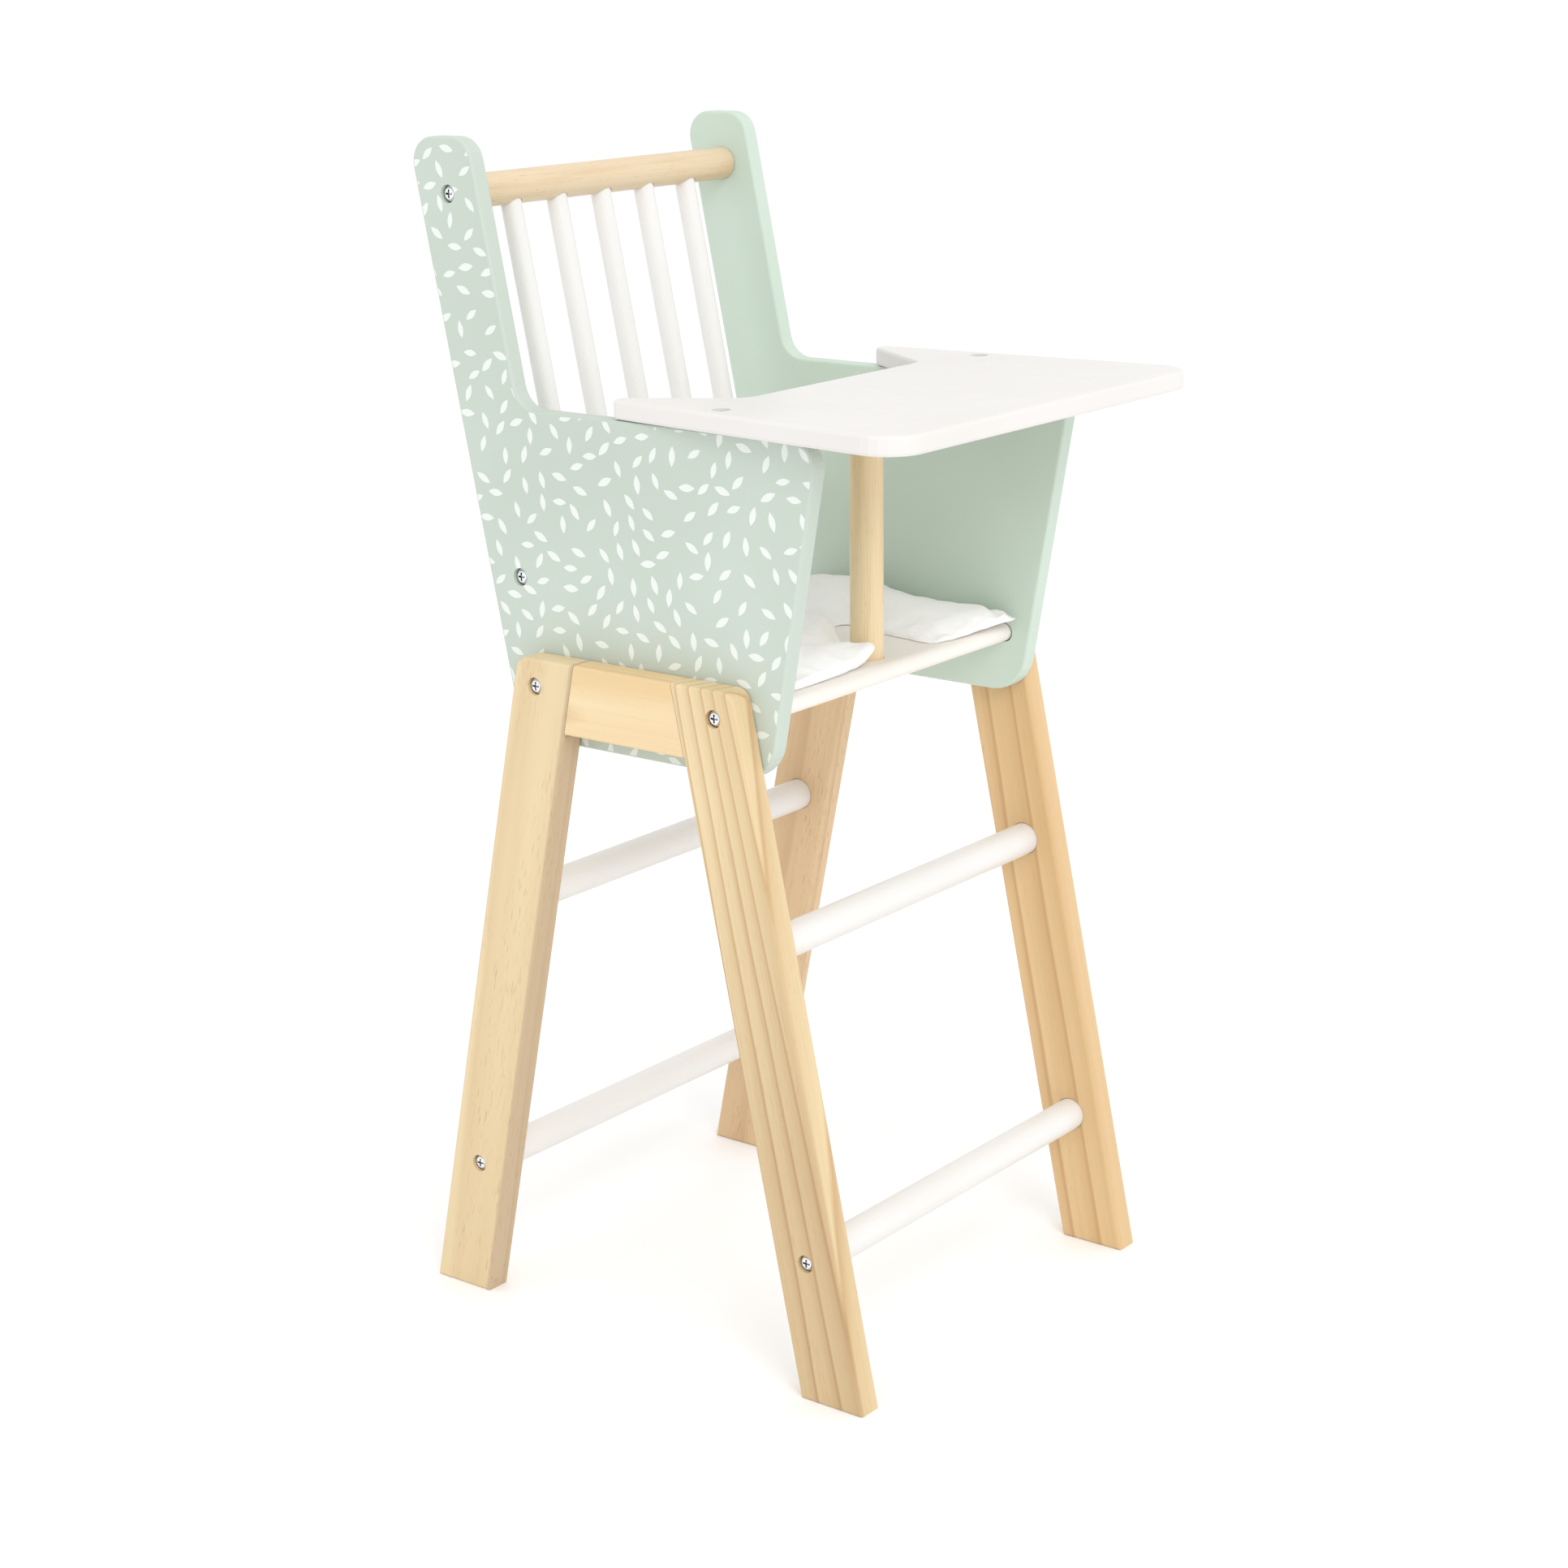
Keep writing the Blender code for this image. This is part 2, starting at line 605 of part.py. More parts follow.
def make_spindles(top_rail, lower_rail):
    low_y = back_centre(LOWER_RAIL_HEIGHT)
    high_y = back_centre(TOP_RAIL_HEIGHT)
    rise = Vector((0, high_y - low_y, TOP_RAIL_HEIGHT - LOWER_RAIL_HEIGHT)).normalized()
    inset = DOWEL_RADIUS - SPINDLE_SOCKET
    pitch = INNER_WIDTH / (SPINDLE_COUNT + 1)
    for index in range(SPINDLE_COUNT):
        x = (index - (SPINDLE_COUNT - 1) / 2) * pitch
        foot = Vector((x, low_y, LOWER_RAIL_HEIGHT))
        head = Vector((x, high_y, TOP_RAIL_HEIGHT))
        name = f"back_spindle_{index + 1}"
        for rail, centre, toward in ((lower_rail, foot, rise), (top_rail, head, -rise)):
            bore(rail, f"{name}_{rail.name}", centre, toward, SPINDLE_RADIUS + FIT_GAP,
                 inset - FIT_GAP, DOWEL_RADIUS + OVERRUN)
        spindle = round_bar(name, SPINDLE_RADIUS, foot + rise * inset, head - rise * inset,
                            SPINDLE_FACETS, CHAIR)
        settle(spindle, WHITE)


def make_stretchers():
    """The four bars between the A-frames, each with its sockets' depth taken up at both ends."""
    stretchers = {}
    for end_name, end in ENDS:
        for level, height, depth in (("upper", UPPER_STRETCHER_HEIGHT, UPPER_SOCKET),
                                     ("lower", LOWER_STRETCHER_HEIGHT, LOWER_SOCKET)):
            half_length = FRAME_INNER + depth - FIT_GAP
            bar = cross_bar(f"{end_name}_{level}_stretcher", half_length, end * leg_centre(height), height)
            stretchers[end_name, level] = bar
    return stretchers


def pad_plan():
    """The pad's rows from front to back: each row's y and its four x places."""
    half = INNER_HALF - PAD_SIDE_GAP
    rows = []
    for share, width_share in zip(NOTCH_ROW_SHARES, NOTCH_WIDTH_SHARES):
        centre = NOTCH_CENTRE + NOTCH_DRIFT * share * share
        reach = NOTCH_WIDTH * width_share / 2
        rows.append((PAD_FRONT + NOTCH_DEPTH * share, (-half, centre - reach, centre + reach, half)))
    rows.append((PAD_REAR, rows[-1][1]))
    return rows


def pad_sheet(shape, rows):
    """A flat sheet over the pad's plan with the notch left out; returns its points by place."""
    across, along = len(rows[0][1]) - 1, len(rows) - 1
    bmesh.ops.create_grid(shape, x_segments=across, y_segments=along, size=1)
    places = {}
    for point in shape.verts:
        column = round((point.co.x + 1) / 2 * across)
        row = round((point.co.y + 1) / 2 * along)
        places[row, column] = point
    for row in range(len(NOTCH_ROW_SHARES) - 1):
        ring = {places[row, 1], places[row, 2], places[row + 1, 1], places[row + 1, 2]}
        notch = [face for face in places[row, 1].link_faces if set(face.verts) == ring]
        bmesh.ops.delete(shape, geom=notch, context="FACES_ONLY")
    loose = [edge for edge in shape.edges if not edge.link_faces]
    bmesh.ops.delete(shape, geom=loose, context="EDGES")
    for (row, column), point in places.items():
        y, xs = rows[row]
        point.co = (xs[column], y, PAD_SEAM_HEIGHT)
    return places


def draw_in_sides(places, last_row, last_column):
    """Pull the sides and the back in between their corners."""
    for row in range(1, last_row):
        places[row, 0].co.x += PAD_DRAW_IN
        places[row, last_column].co.x -= PAD_DRAW_IN
    for column in range(1, last_column):
        places[last_row, column].co.y -= PAD_DRAW_IN


def sharpen_seam(shape, corners):
    """Keep the seam and the pad's corners crisp when it is smoothed."""
    corner_crease = shape.verts.layers.float.new("crease_vert")
    seam_crease = shape.edges.layers.float.new("crease_edge")
    for edge in shape.edges:
        edge[seam_crease] = SEAM_CREASE_SHARE * edge.is_boundary
    for point in shape.verts:
        if any((point.co - corner).length < WELD_DISTANCE for corner in corners):
            point[corner_crease] = CORNER_CREASE_SHARE


def pad_cage():
    """Two sheets sewn together at a seam all round, both full up to a shoulder inside it."""
    rows = pad_plan()
    last_row, last_column = len(rows) - 1, len(rows[0][1]) - 1
    shape = bmesh.new()
    places = pad_sheet(shape, rows)
    draw_in_sides(places, last_row, last_column)
    places[0, 0].co.y += PAD_LEFT_SET_BACK
    places[0, 1].co += Vector((PAD_TIP_REACH, PAD_TIP_SET_BACK, PAD_TIP_LIFT))
    places[0, 2].co.y += PAD_CORNER_SET_BACK
    places[0, last_column].co.y -= PAD_RIGHT_REACH
    ends = ((0, 0), (0, 1), (0, 2), (0, last_column), (last_row, 0), (last_row, last_column))
    corners = [places[end].co.copy() for end in ends]
    bmesh.ops.inset_region(shape, faces=shape.faces, use_boundary=True, use_even_offset=True,
                           thickness=PAD_SHOULDER)
    sharpen_seam(shape, corners)
    inside = [point for point in shape.verts if not point.is_boundary]
    under = bmesh.ops.duplicate(shape, geom=shape.verts[:] + shape.edges[:] + shape.faces[:])
    under_faces = [item for item in under["geom"] if isinstance(item, bmesh.types.BMFace)]
    under_points = [item for item in under["geom"] if isinstance(item, bmesh.types.BMVert)]
    bmesh.ops.reverse_faces(shape, faces=under_faces)
    for point in inside:
        point.co.z = PAD_CROWN
    for point in under_points:
        if not point.is_boundary:
            point.co.z = -PAD_BULGE
    bmesh.ops.remove_doubles(shape, verts=shape.verts, dist=WELD_DISTANCE)
    return shape


def make_pad():
    """The loose seat pad, its underside pressed flat by the board it lies on."""
    mesh = bpy.data.meshes.new("seat_pad")
    cage = pad_cage()
    cage.to_mesh(mesh)
    cage.free()
    pad = add_object("seat_pad", mesh, CHAIR, (0, 0, SEAT_TOP + FIT_GAP))
    smooth = pad.modifiers.new("smooth", "SUBSURF")
    smooth.levels = PAD_SMOOTHING
    smooth.render_levels = PAD_SMOOTHING
    settle(pad, COTTON)
    for point in pad.data.vertices:
        point.co.z = max(point.co.z, 0)


def fasten_back(side, sign, panel, rails):
    for rail, height in rails:
        head_point = Vector((sign * PANEL_OUTER, back_centre(height), height))
        fasten(f"{side}_{rail.name}", panel, rail, head_point, -sign * ALONG_X,
               PANEL_THICKNESS, PANEL_THICKNESS + FIT_GAP)


def fasten_tray(side, sign, tray, panel):
    head_point = Vector((sign * (INNER_HALF + PANEL_THICKNESS / 2), TRAY_SCREW_Y, TRAY_TOP))
    fasten(f"{side}_tray", tray, panel, head_point, -ALONG_Z, TRAY_THICKNESS, TRAY_THICKNESS + FIT_GAP)


def fasten_seat(name, sign, end, leg, panel, seat):
    """A screw through the leg's top and the side panel into the end of the seat board."""
    y = end * (leg_centre(SEAT_CENTRE_HEIGHT) + SEAT_SCREW_OFFSET)
    head_point = Vector((sign * FRAME_OUTER, y, SEAT_CENTRE_HEIGHT))
    inward = -sign * ALONG_X
    panel_web = PANEL_THICKNESS - SLOT_DEPTH
    reach = FRAME_THICKNESS + FIT_GAP + panel_web + FIT_GAP
    bore(panel, name + "_panel_hole", head_point, inward, SHANK_RADIUS + FIT_GAP,
         FRAME_THICKNESS - OVERRUN, reach + OVERRUN)
    fasten(name, leg, seat, head_point, inward, FRAME_THICKNESS, reach)


def fasten_stretcher(name, sign, end, leg, stretcher):
    height = LOWER_STRETCHER_HEIGHT
    head_point = Vector((sign * FRAME_OUTER, end * leg_centre(height), height))
    fasten(name, leg, stretcher, head_point, -sign * ALONG_X,
           FRAME_THICKNESS, FRAME_THICKNESS - LOWER_SOCKET + FIT_GAP)


def build():
    rail_half = INNER_HALF - FIT_GAP
    top_rail = cross_bar("back_top_rail", rail_half, back_centre(TOP_RAIL_HEIGHT), TOP_RAIL_HEIGHT)
    lower_rail = cross_bar("back_lower_rail", rail_half, back_centre(LOWER_RAIL_HEIGHT), LOWER_RAIL_HEIGHT)
    rails = ((top_rail, TOP_RAIL_HEIGHT), (lower_rail, LOWER_RAIL_HEIGHT))
    make_spindles(top_rail, lower_rail)
    seat = make_seat()
    tray = make_tray()
    make_post()
    stretchers = make_stretchers()
    for side, sign in SIDES:
        panel = make_panel(side, sign)
        fasten_back(side, sign, panel, rails)
        fasten_tray(side, sign, tray, panel)
        for end_name, end in ENDS:
            leg = make_leg(side, sign, end_name, end)
            fasten_seat(f"{side}_{end_name}_seat", sign, end, leg, panel, seat)
            fasten_stretcher(f"{side}_{end_name}_stretcher", sign, end, leg, stretchers[end_name, "lower"])
            settle(leg, PINE)
        settle(panel, SAGE)
        settle(make_cross_rail(side, sign), PINE)
    for rail in (top_rail, lower_rail):
        settle(rail, BEECH)
    for board in (seat, tray):
        settle(board, WHITE)
    for stretcher in stretchers.values():
        settle(stretcher, WHITE)
    make_pad()


build()
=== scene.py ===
import math
import random

import bmesh
import bpy
from mathutils import Euler, Matrix, Vector, noise


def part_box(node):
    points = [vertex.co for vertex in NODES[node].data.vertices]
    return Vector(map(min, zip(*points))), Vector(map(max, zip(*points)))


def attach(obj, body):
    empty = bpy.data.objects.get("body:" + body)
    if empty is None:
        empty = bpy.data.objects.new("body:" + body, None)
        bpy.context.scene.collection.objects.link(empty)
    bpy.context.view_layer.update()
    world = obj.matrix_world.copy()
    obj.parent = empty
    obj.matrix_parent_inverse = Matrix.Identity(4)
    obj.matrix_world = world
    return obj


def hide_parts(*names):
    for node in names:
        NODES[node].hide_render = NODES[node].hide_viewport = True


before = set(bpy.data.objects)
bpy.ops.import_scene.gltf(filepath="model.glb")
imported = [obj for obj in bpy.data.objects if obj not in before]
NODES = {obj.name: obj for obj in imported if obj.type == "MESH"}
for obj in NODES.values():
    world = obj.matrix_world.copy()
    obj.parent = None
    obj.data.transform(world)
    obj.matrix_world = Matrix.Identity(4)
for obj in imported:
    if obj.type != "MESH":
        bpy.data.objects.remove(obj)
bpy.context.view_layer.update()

LEAN = math.radians(11.8)               # how far the legs lean from upright
SIDES = (("left", -1), ("right", 1))    # each side's name and its sign in x


# Colours

def linear(red, green, blue):
    """A colour given as the eye reads it on a screen, 0 to 255, as the shader wants it."""
    return tuple((c / 255 / 12.92) if c <= 10 else ((c / 255 + 0.055) / 1.055) ** 2.4
                 for c in (red, green, blue)) + (1,)


# Shader helpers

class Finish:
    """A material under construction: a Principled shader and the nodes that feed it."""

    def __init__(self, name):
        self.material = bpy.data.materials.new(name)
        self.material.use_nodes = True
        self.tree = self.material.node_tree
        self.shader = self.tree.nodes["Principled BSDF"]

    def node(self, kind, **settings):
        """A new node of the kind given, with its own settings."""
        made = self.tree.nodes.new(kind)
        for key, value in settings.items():
            setattr(made, key, value)
        return made

    def link(self, out_socket, in_socket):
        self.tree.links.new(out_socket, in_socket)

    def feed(self, socket, value):
        """Link a node's output to a socket, or set the socket's own value."""
        if isinstance(value, bpy.types.NodeSocket):
            self.link(value, socket)
        else:
            socket.default_value = value

    def place(self, rotation=(0, 0, 0), shift=(0, 0, 0)):
        """Object coordinates, turned and shifted for one piece."""
        coordinates = self.node("ShaderNodeTexCoord")
        mapping = self.node("ShaderNodeMapping")
        mapping.inputs["Location"].default_value = shift
        mapping.inputs["Rotation"].default_value = rotation
        self.link(coordinates.outputs["Object"], mapping.inputs["Vector"])
        return mapping.outputs["Vector"]

    def scaled(self, vector, scale):
        """Coordinates stretched by a scale for each axis, so that a noise runs along the grain."""
        mapping = self.node("ShaderNodeMapping")
        mapping.inputs["Scale"].default_value = scale
        self.link(vector, mapping.inputs["Vector"])
        return mapping.outputs["Vector"]

    def noise(self, vector, scale, detail, roughness, distortion=0.0):
        texture = self.node("ShaderNodeTexNoise")
        texture.inputs["Scale"].default_value = scale
        texture.inputs["Detail"].default_value = detail
        texture.inputs["Roughness"].default_value = roughness
        texture.inputs["Distortion"].default_value = distortion
        self.link(vector, texture.inputs["Vector"])
        return texture.outputs["Fac"]

    def maths(self, operation, first, second=0.0):
        made = self.node("ShaderNodeMath", operation=operation)
        self.feed(made.inputs[0], first)
        self.feed(made.inputs[1], second)
        return made.outputs[0]

    def fall(self, value, start, end):
        """1 up to the start, 0 from the end on."""
        made = self.node("ShaderNodeMapRange")
        for name, number in (("From Min", start), ("From Max", end), ("To Min", 1.0), ("To Max", 0.0)):
            made.inputs[name].default_value = number
        self.link(value, made.inputs["Value"])
        return made.outputs["Result"]

    def ramp(self, factor, stops):
        """A factor turned into colours or shares by the stops given, straight from one to the next."""
        made = self.node("ShaderNodeValToRGB")
        elements = made.color_ramp.elements
        made.color_ramp.interpolation = "LINEAR"
        while len(elements) < len(stops):
            elements.new(0.5)
        for element, (position, colour) in zip(elements, stops):
            element.position = position
            element.color = colour if hasattr(colour, "__len__") else (colour, colour, colour, 1)
        self.link(factor, made.inputs["Fac"])
        return made.outputs["Color"]

    def mix(self, factor, first, second, blend="MIX"):
        made = self.node("ShaderNodeMix", data_type="RGBA", blend_type=blend)
        self.feed(made.inputs[0], factor)
        self.feed(made.inputs[6], first)
        self.feed(made.inputs[7], second)
        return made.outputs[2]

    def bump(self, height, strength, distance, under=None):
        made = self.node("ShaderNodeBump")
        made.inputs["Strength"].default_value = strength
        made.inputs["Distance"].default_value = distance
        self.link(height, made.inputs["Height"])
        if under is not None:
            self.link(under, made.inputs["Normal"])
        return made.outputs["Normal"]

    def set(self, **values):
        """Feed the shader's own sockets, named with _ for a space, and give back the material."""
        for name, value in values.items():
            self.feed(self.shader.inputs[name.replace("_", " ")], value)
        return self.material


# Wear, and painted shade in hollows

SHADER_SAMPLES = 6          # rays that the bevel node and the painted-shade occlusion node send
WORN_REACH = 0.0012         # how far from an arris the finish is rubbed paler
WORN_GAIN = 4.0
HOLE_REACH = 0.003          # how near the walls stand where painted shade gathers in a hole
HOLE_STOPS = ((0.30, 0.0), (0.75, 1.0))
# painted shade: the dark brown that holes and corners are drawn in
HOLE_SHADE = linear(84, 62, 42)


def near_edges(finish):
    """1 where the surface turns within the worn reach, 0 on open faces."""
    bevel = finish.node("ShaderNodeBevel", samples=SHADER_SAMPLES)
    bevel.inputs["Radius"].default_value = WORN_REACH
    geometry = finish.node("ShaderNodeNewGeometry")
    dot = finish.node("ShaderNodeVectorMath", operation="DOT_PRODUCT")
    finish.link(bevel.outputs["Normal"], dot.inputs[0])
    finish.link(geometry.outputs["Normal"], dot.inputs[1])
    turn = finish.maths("SUBTRACT", 1.0, dot.outputs["Value"])
    return finish.maths("MULTIPLY", turn, WORN_GAIN)


def hollow_shade(finish, reach):
    """1 deep in the piece's own holes and corners, 0 where it lies open: how much painted shade goes
    there.
    """
    shade = finish.node("ShaderNodeAmbientOcclusion", samples=SHADER_SAMPLES, only_local=True)
    shade.inputs["Distance"].default_value = reach
    return finish.maths("SUBTRACT", 1.0, shade.outputs["AO"])


def worn_and_shaded(finish, colour, rubbed, share):
    """A colour rubbed paler at the piece's arrises as wear, and with painted shade deep in its holes.
    """
    worn = near_edges(finish)
    colour = finish.mix(finish.maths("MULTIPLY", worn, share), colour, rubbed)
    return finish.mix(finish.ramp(hollow_shade(finish, HOLE_REACH), HOLE_STOPS), colour, HOLE_SHADE)


# Pine: the tones are pale ground, common ground and late wood

FRESH_PINE = (linear(228, 207, 165), linear(219, 196, 153), linear(190, 153, 105))
PLAIN_PINE = (linear(226, 206, 167), linear(220, 198, 156), linear(202, 171, 126))
RAIL_PINE = (linear(234, 213, 173), linear(226, 198, 150), linear(205, 161, 108))
# the right-hand pieces' tones: partly their own warmer wood, partly painted shade of the far side
WARM_SHADED_PINE = (linear(222, 190, 143), linear(213, 179, 130), linear(190, 148, 98))
DUSKY_SHADED_PINE = (linear(220, 191, 151), linear(211, 180, 140), linear(187, 148, 107))
RESIN = linear(160, 116, 74)

# Noise scales across, through and along the grain
DRIFT_SCALE = (8, 8, 2.4)           # the rings' slow wander
RIPPLE_SCALE = (70, 70, 6)          # their small unevenness
TONE_SCALE = (46, 46, 1.5)          # paler and darker ground
STREAK_SCALE = (700, 700, 12)       # fine fibres
DASH_SCALE = (1900, 1900, 150)      # resin ducts, which show as short dashes
CROWD_SCALE = (55, 55, 8)           # where the dashes gather
RIPPLE_SHARE = 0.35                 # of a year
LATE_WOOD = ((0.0, 0.0), (0.50, 0.14), (0.78, 0.42), (0.91, 1.0), (1.0, 0.0))
PINE_WORN = 0.18
PINE_RELIEF = 0.0003


def year_rings(finish, place, along, look):
    """Years grown at a point, counted from the ring that runs down the piece without bending."""
    split = finish.node("ShaderNodeSeparateXYZ")
    finish.link(place, split.inputs["Vector"])
    across = finish.maths("POWER", split.outputs["X"], 2.0)
    deep = finish.maths("POWER", split.outputs["Y"], 2.0)
    radius = finish.maths("SQRT", finish.maths("ADD", across, deep))
    beside = finish.maths("SUBTRACT", radius, look["straight"])
    narrowing = finish.maths("MULTIPLY", split.outputs["Z"], look["fan"])
    spread = finish.maths("MULTIPLY", finish.maths("SUBTRACT", 1.0, narrowing), look["year"])
    years = finish.maths("DIVIDE", beside, spread)
    drift = finish.noise(finish.scaled(along, DRIFT_SCALE), 1.0, 1.0, 0.5)
    ripple = finish.noise(finish.scaled(along, RIPPLE_SCALE), 1.0, 2.0, 0.5)
    wander = finish.maths("MULTIPLY", finish.maths("SUBTRACT", drift, 0.5), look["wander"])
    shiver = finish.maths("MULTIPLY", finish.maths("SUBTRACT", ripple, 0.5), RIPPLE_SHARE)
    return finish.maths("ADD", finish.maths("ADD", years, wander), shiver)


# Long faces darker than the rest: painted shade over the left rear leg's front face, which leans
# down and forward, and the left front leg's outer face darker towards the foot. Each with its
# axis and place from the piece's middle, its tint at full strength, and the heights along the
# grain between which that fades
SHADE_AND_DARK_FACES = {
    "left_front_leg": ("X", -0.00675, (0.80, 0.74, 0.69, 1), (-0.06, 0.12)),
    # painted shade over this leg's whole front face, which leans down and forward
    "left_rear_leg": ("Y", -0.0170, (0.73, 0.69, 0.72, 1), (0.5, 1.0)),
}
DARKENED_DEPTHS = (0.0008, 0.0026)        # depths under the face between which the darkening fades away


def darken_and_shade_face(finish, wood, name, rotation, middle):
    """The wood darker in a thin layer under one of the piece's long faces: painted shade on the left
    rear leg, darker towards the foot on the left front leg.
    """
    axis, face, tint, heights = SHADE_AND_DARK_FACES[name]
    split = finish.node("ShaderNodeSeparateXYZ")
    finish.link(finish.place(rotation=rotation, shift=tuple(-middle)), split.inputs["Vector"])
    near = finish.fall(split.outputs[axis], face + DARKENED_DEPTHS[0], face + DARKENED_DEPTHS[1])
    low = finish.fall(split.outputs["Z"], *heights)
    return finish.mix(finish.maths("MULTIPLY", near, low), wood, tint, blend="MULTIPLY")


def pine(name, rotation, middle, look):
    """Varnished pine. After the rotation the grain runs along Z through the piece's middle."""
    finish = Finish(name)
    pale, common, dark = look["tones"]
    seed = look["seed"]
    along = finish.place(rotation=rotation, shift=(seed * 0.37, seed * 0.21, seed * 0.53))
    heart = look["heart"]
    from_heart = (-middle.x - heart[0], -middle.y - heart[1], -middle.z)
    years = year_rings(finish, finish.place(rotation=rotation, shift=from_heart), along, look)
    season = finish.maths("FRACT", years)
    late = finish.ramp(season, LATE_WOOD)
    tone = finish.noise(finish.scaled(along, TONE_SCALE), 1.0, 2.0, 0.5)
    base = finish.mix(finish.ramp(tone, ((0.36, 0.0), (0.62, 1.0))), pale, common)
    wood = finish.mix(finish.maths("MULTIPLY", late, look["rings"]), base, dark)
    streak = finish.noise(finish.scaled(along, STREAK_SCALE), 1.0, 2.0, 0.6)
    wood = finish.mix(finish.ramp(streak, ((0.50, 0.0), (0.82, 0.20))), wood, dark)
    dashes = finish.noise(finish.scaled(along, DASH_SCALE), 1.0, 0.0, 0.4)
    crowd = finish.noise(finish.scaled(along, CROWD_SCALE), 1.0, 2.0, 0.5)
    spots = finish.ramp(dashes, ((0.69, 0.0), (0.74, 1.0)))
    gathered = finish.ramp(crowd, ((0.40, 0.0), (0.56, 1.0)))
    shown = finish.maths("MULTIPLY", finish.maths("MULTIPLY", spots, gathered), look["flecks"])
    wood = finish.mix(shown, wood, RESIN)
    # painted shade on the left rear leg's front face; the left front leg darker towards its foot
    if name in SHADE_AND_DARK_FACES:
        wood = darken_and_shade_face(finish, wood, name, rotation, middle)
    # arrises rubbed paler as wear, with painted shade deep in the holes
    wood = worn_and_shaded(finish, wood, pale, PINE_WORN)
    height = finish.maths("SUBTRACT", finish.maths("MULTIPLY", streak, 0.5),
                          finish.maths("MULTIPLY", late, 0.15))
    normal = finish.bump(height, 0.15, PINE_RELIEF)
    rough = finish.ramp(streak, ((0.2, 0.46), (0.8, 0.58)))
    return finish.set(Base_Color=wood, Roughness=rough, Normal=normal,
                      Coat_Weight=0.08, Coat_Roughness=0.4)


# Beech: the tones are pale, common and dark ground; each scale is along and across the grain

RAIL_BEECH = (linear(223, 204, 173), linear(219, 198, 165), linear(208, 181, 143))
POST_BEECH = (linear(238, 216, 177), linear(233, 209, 167), linear(221, 191, 146))
BEECH_FIBRE = linear(198, 162, 114)
BEECH_PORE = linear(176, 138, 94)
BAND_SCALE = (9, 110)
FIBRE_SCALE = (30, 1400)
PORE_SCALE = (170, 2000)
BEECH_RELIEF = 0.0003


def beech(name, tones, grain, seed):
    """Smooth turned dowel: straight fine grain with short darker pores along the bar.

    grain has a 1 for the axis that the bar lies along.
    """
    finish = Finish(name)
    place = finish.place(shift=(seed * 0.31, seed * 0.17, seed * 0.41))

    def stretched(scale):
        return finish.scaled(place, tuple(scale[0] if along else scale[1] for along in grain))

    bands = finish.noise(stretched(BAND_SCALE), 1.0, 4.0, 0.6, 0.4)
    fine = finish.noise(stretched(FIBRE_SCALE), 1.0, 2.0, 0.55)
    pores = finish.noise(stretched(PORE_SCALE), 1.0, 1.0, 0.4)
    wood = finish.ramp(bands, ((0.28, tones[0]), (0.50, tones[1]), (0.74, tones[2])))
    wood = finish.mix(finish.ramp(fine, ((0.42, 0.0), (0.80, 0.25))), wood, BEECH_FIBRE)
    wood = finish.mix(finish.ramp(pores, ((0.68, 0.0), (0.78, 0.4))), wood, BEECH_PORE)
    normal = finish.bump(fine, 0.10, BEECH_RELIEF)
    return finish.set(Base_Color=wood, Roughness=0.42, Normal=normal,
                      Coat_Weight=0.15, Coat_Roughness=0.3)


# Paint: each has its common, lighter and darker colour and its roughness

PAINTS = {
    "near_sage_paint": ((189, 200, 189), (195, 207, 197), (185, 195, 184), 0.50),
    # the far panel's sage drawn lighter than the near one: painted light on its shaded inner face
    "far_sage_painted_light": ((195, 211, 197), (200, 216, 204), (192, 206, 191), 0.50),
    "white_paint": ((229, 227, 224), (233, 231, 229), (226, 223, 220), 0.42),
    # the tray's white drawn darker than the other white: painted shade on its lit top
    "tray_white_painted_shade": ((223, 220, 217), (227, 225, 222), (219, 216, 212), 0.42),
    "cream_paint": ((239, 233, 226), (242, 237, 230), (236, 230, 222), 0.42),
    "left_mark_paint": ((225, 231, 225), (228, 234, 228), (221, 228, 221), 0.45),
    "right_mark_paint": ((225, 231, 225), (228, 234, 228), (221, 228, 221), 0.45),
}
CLOUD_SCALE = 9             # mottling over the whole board
BROAD_SCALE = 120           # soft waves in the sprayed coat
PEEL_SCALE = 900            # orange peel
PAINT_WORN = 0.45
PAINT_RELIEF = 0.0004


def paint(name):
    """Sprayed satin paint over board: faint mottling, soft orange peel, arrises rubbed paler, painted
    shade in its holes.
    """
    finish = Finish(name)
    *colours, roughness = PAINTS[name]
    common, lighter, darker = (linear(*colour) for colour in colours)
    place = finish.place()
    cloud = finish.noise(place, CLOUD_SCALE, 2.0, 0.45)
    mottled = finish.ramp(cloud, ((0.20, darker), (0.50, common), (0.80, lighter)))
    # arrises rubbed paler as wear, with painted shade deep in the holes
    mottled = worn_and_shaded(finish, mottled, lighter, PAINT_WORN)
    peel = finish.noise(place, PEEL_SCALE, 2.0, 0.5)
    broad = finish.noise(place, BROAD_SCALE, 2.0, 0.5)
    height = finish.maths("ADD", peel, broad)
    normal = finish.bump(height, 0.06, PAINT_RELIEF)
    rough = finish.ramp(broad, ((0.3, roughness - 0.04), (0.7, roughness + 0.05)))
    return finish.set(Base_Color=mottled, Roughness=rough, Normal=normal,
                      Coat_Weight=0.08, Coat_Roughness=0.35)


# Metals and cotton

ZINC_DULL = linear(222, 225, 229)
ZINC_BRIGHT = linear(250, 251, 252)
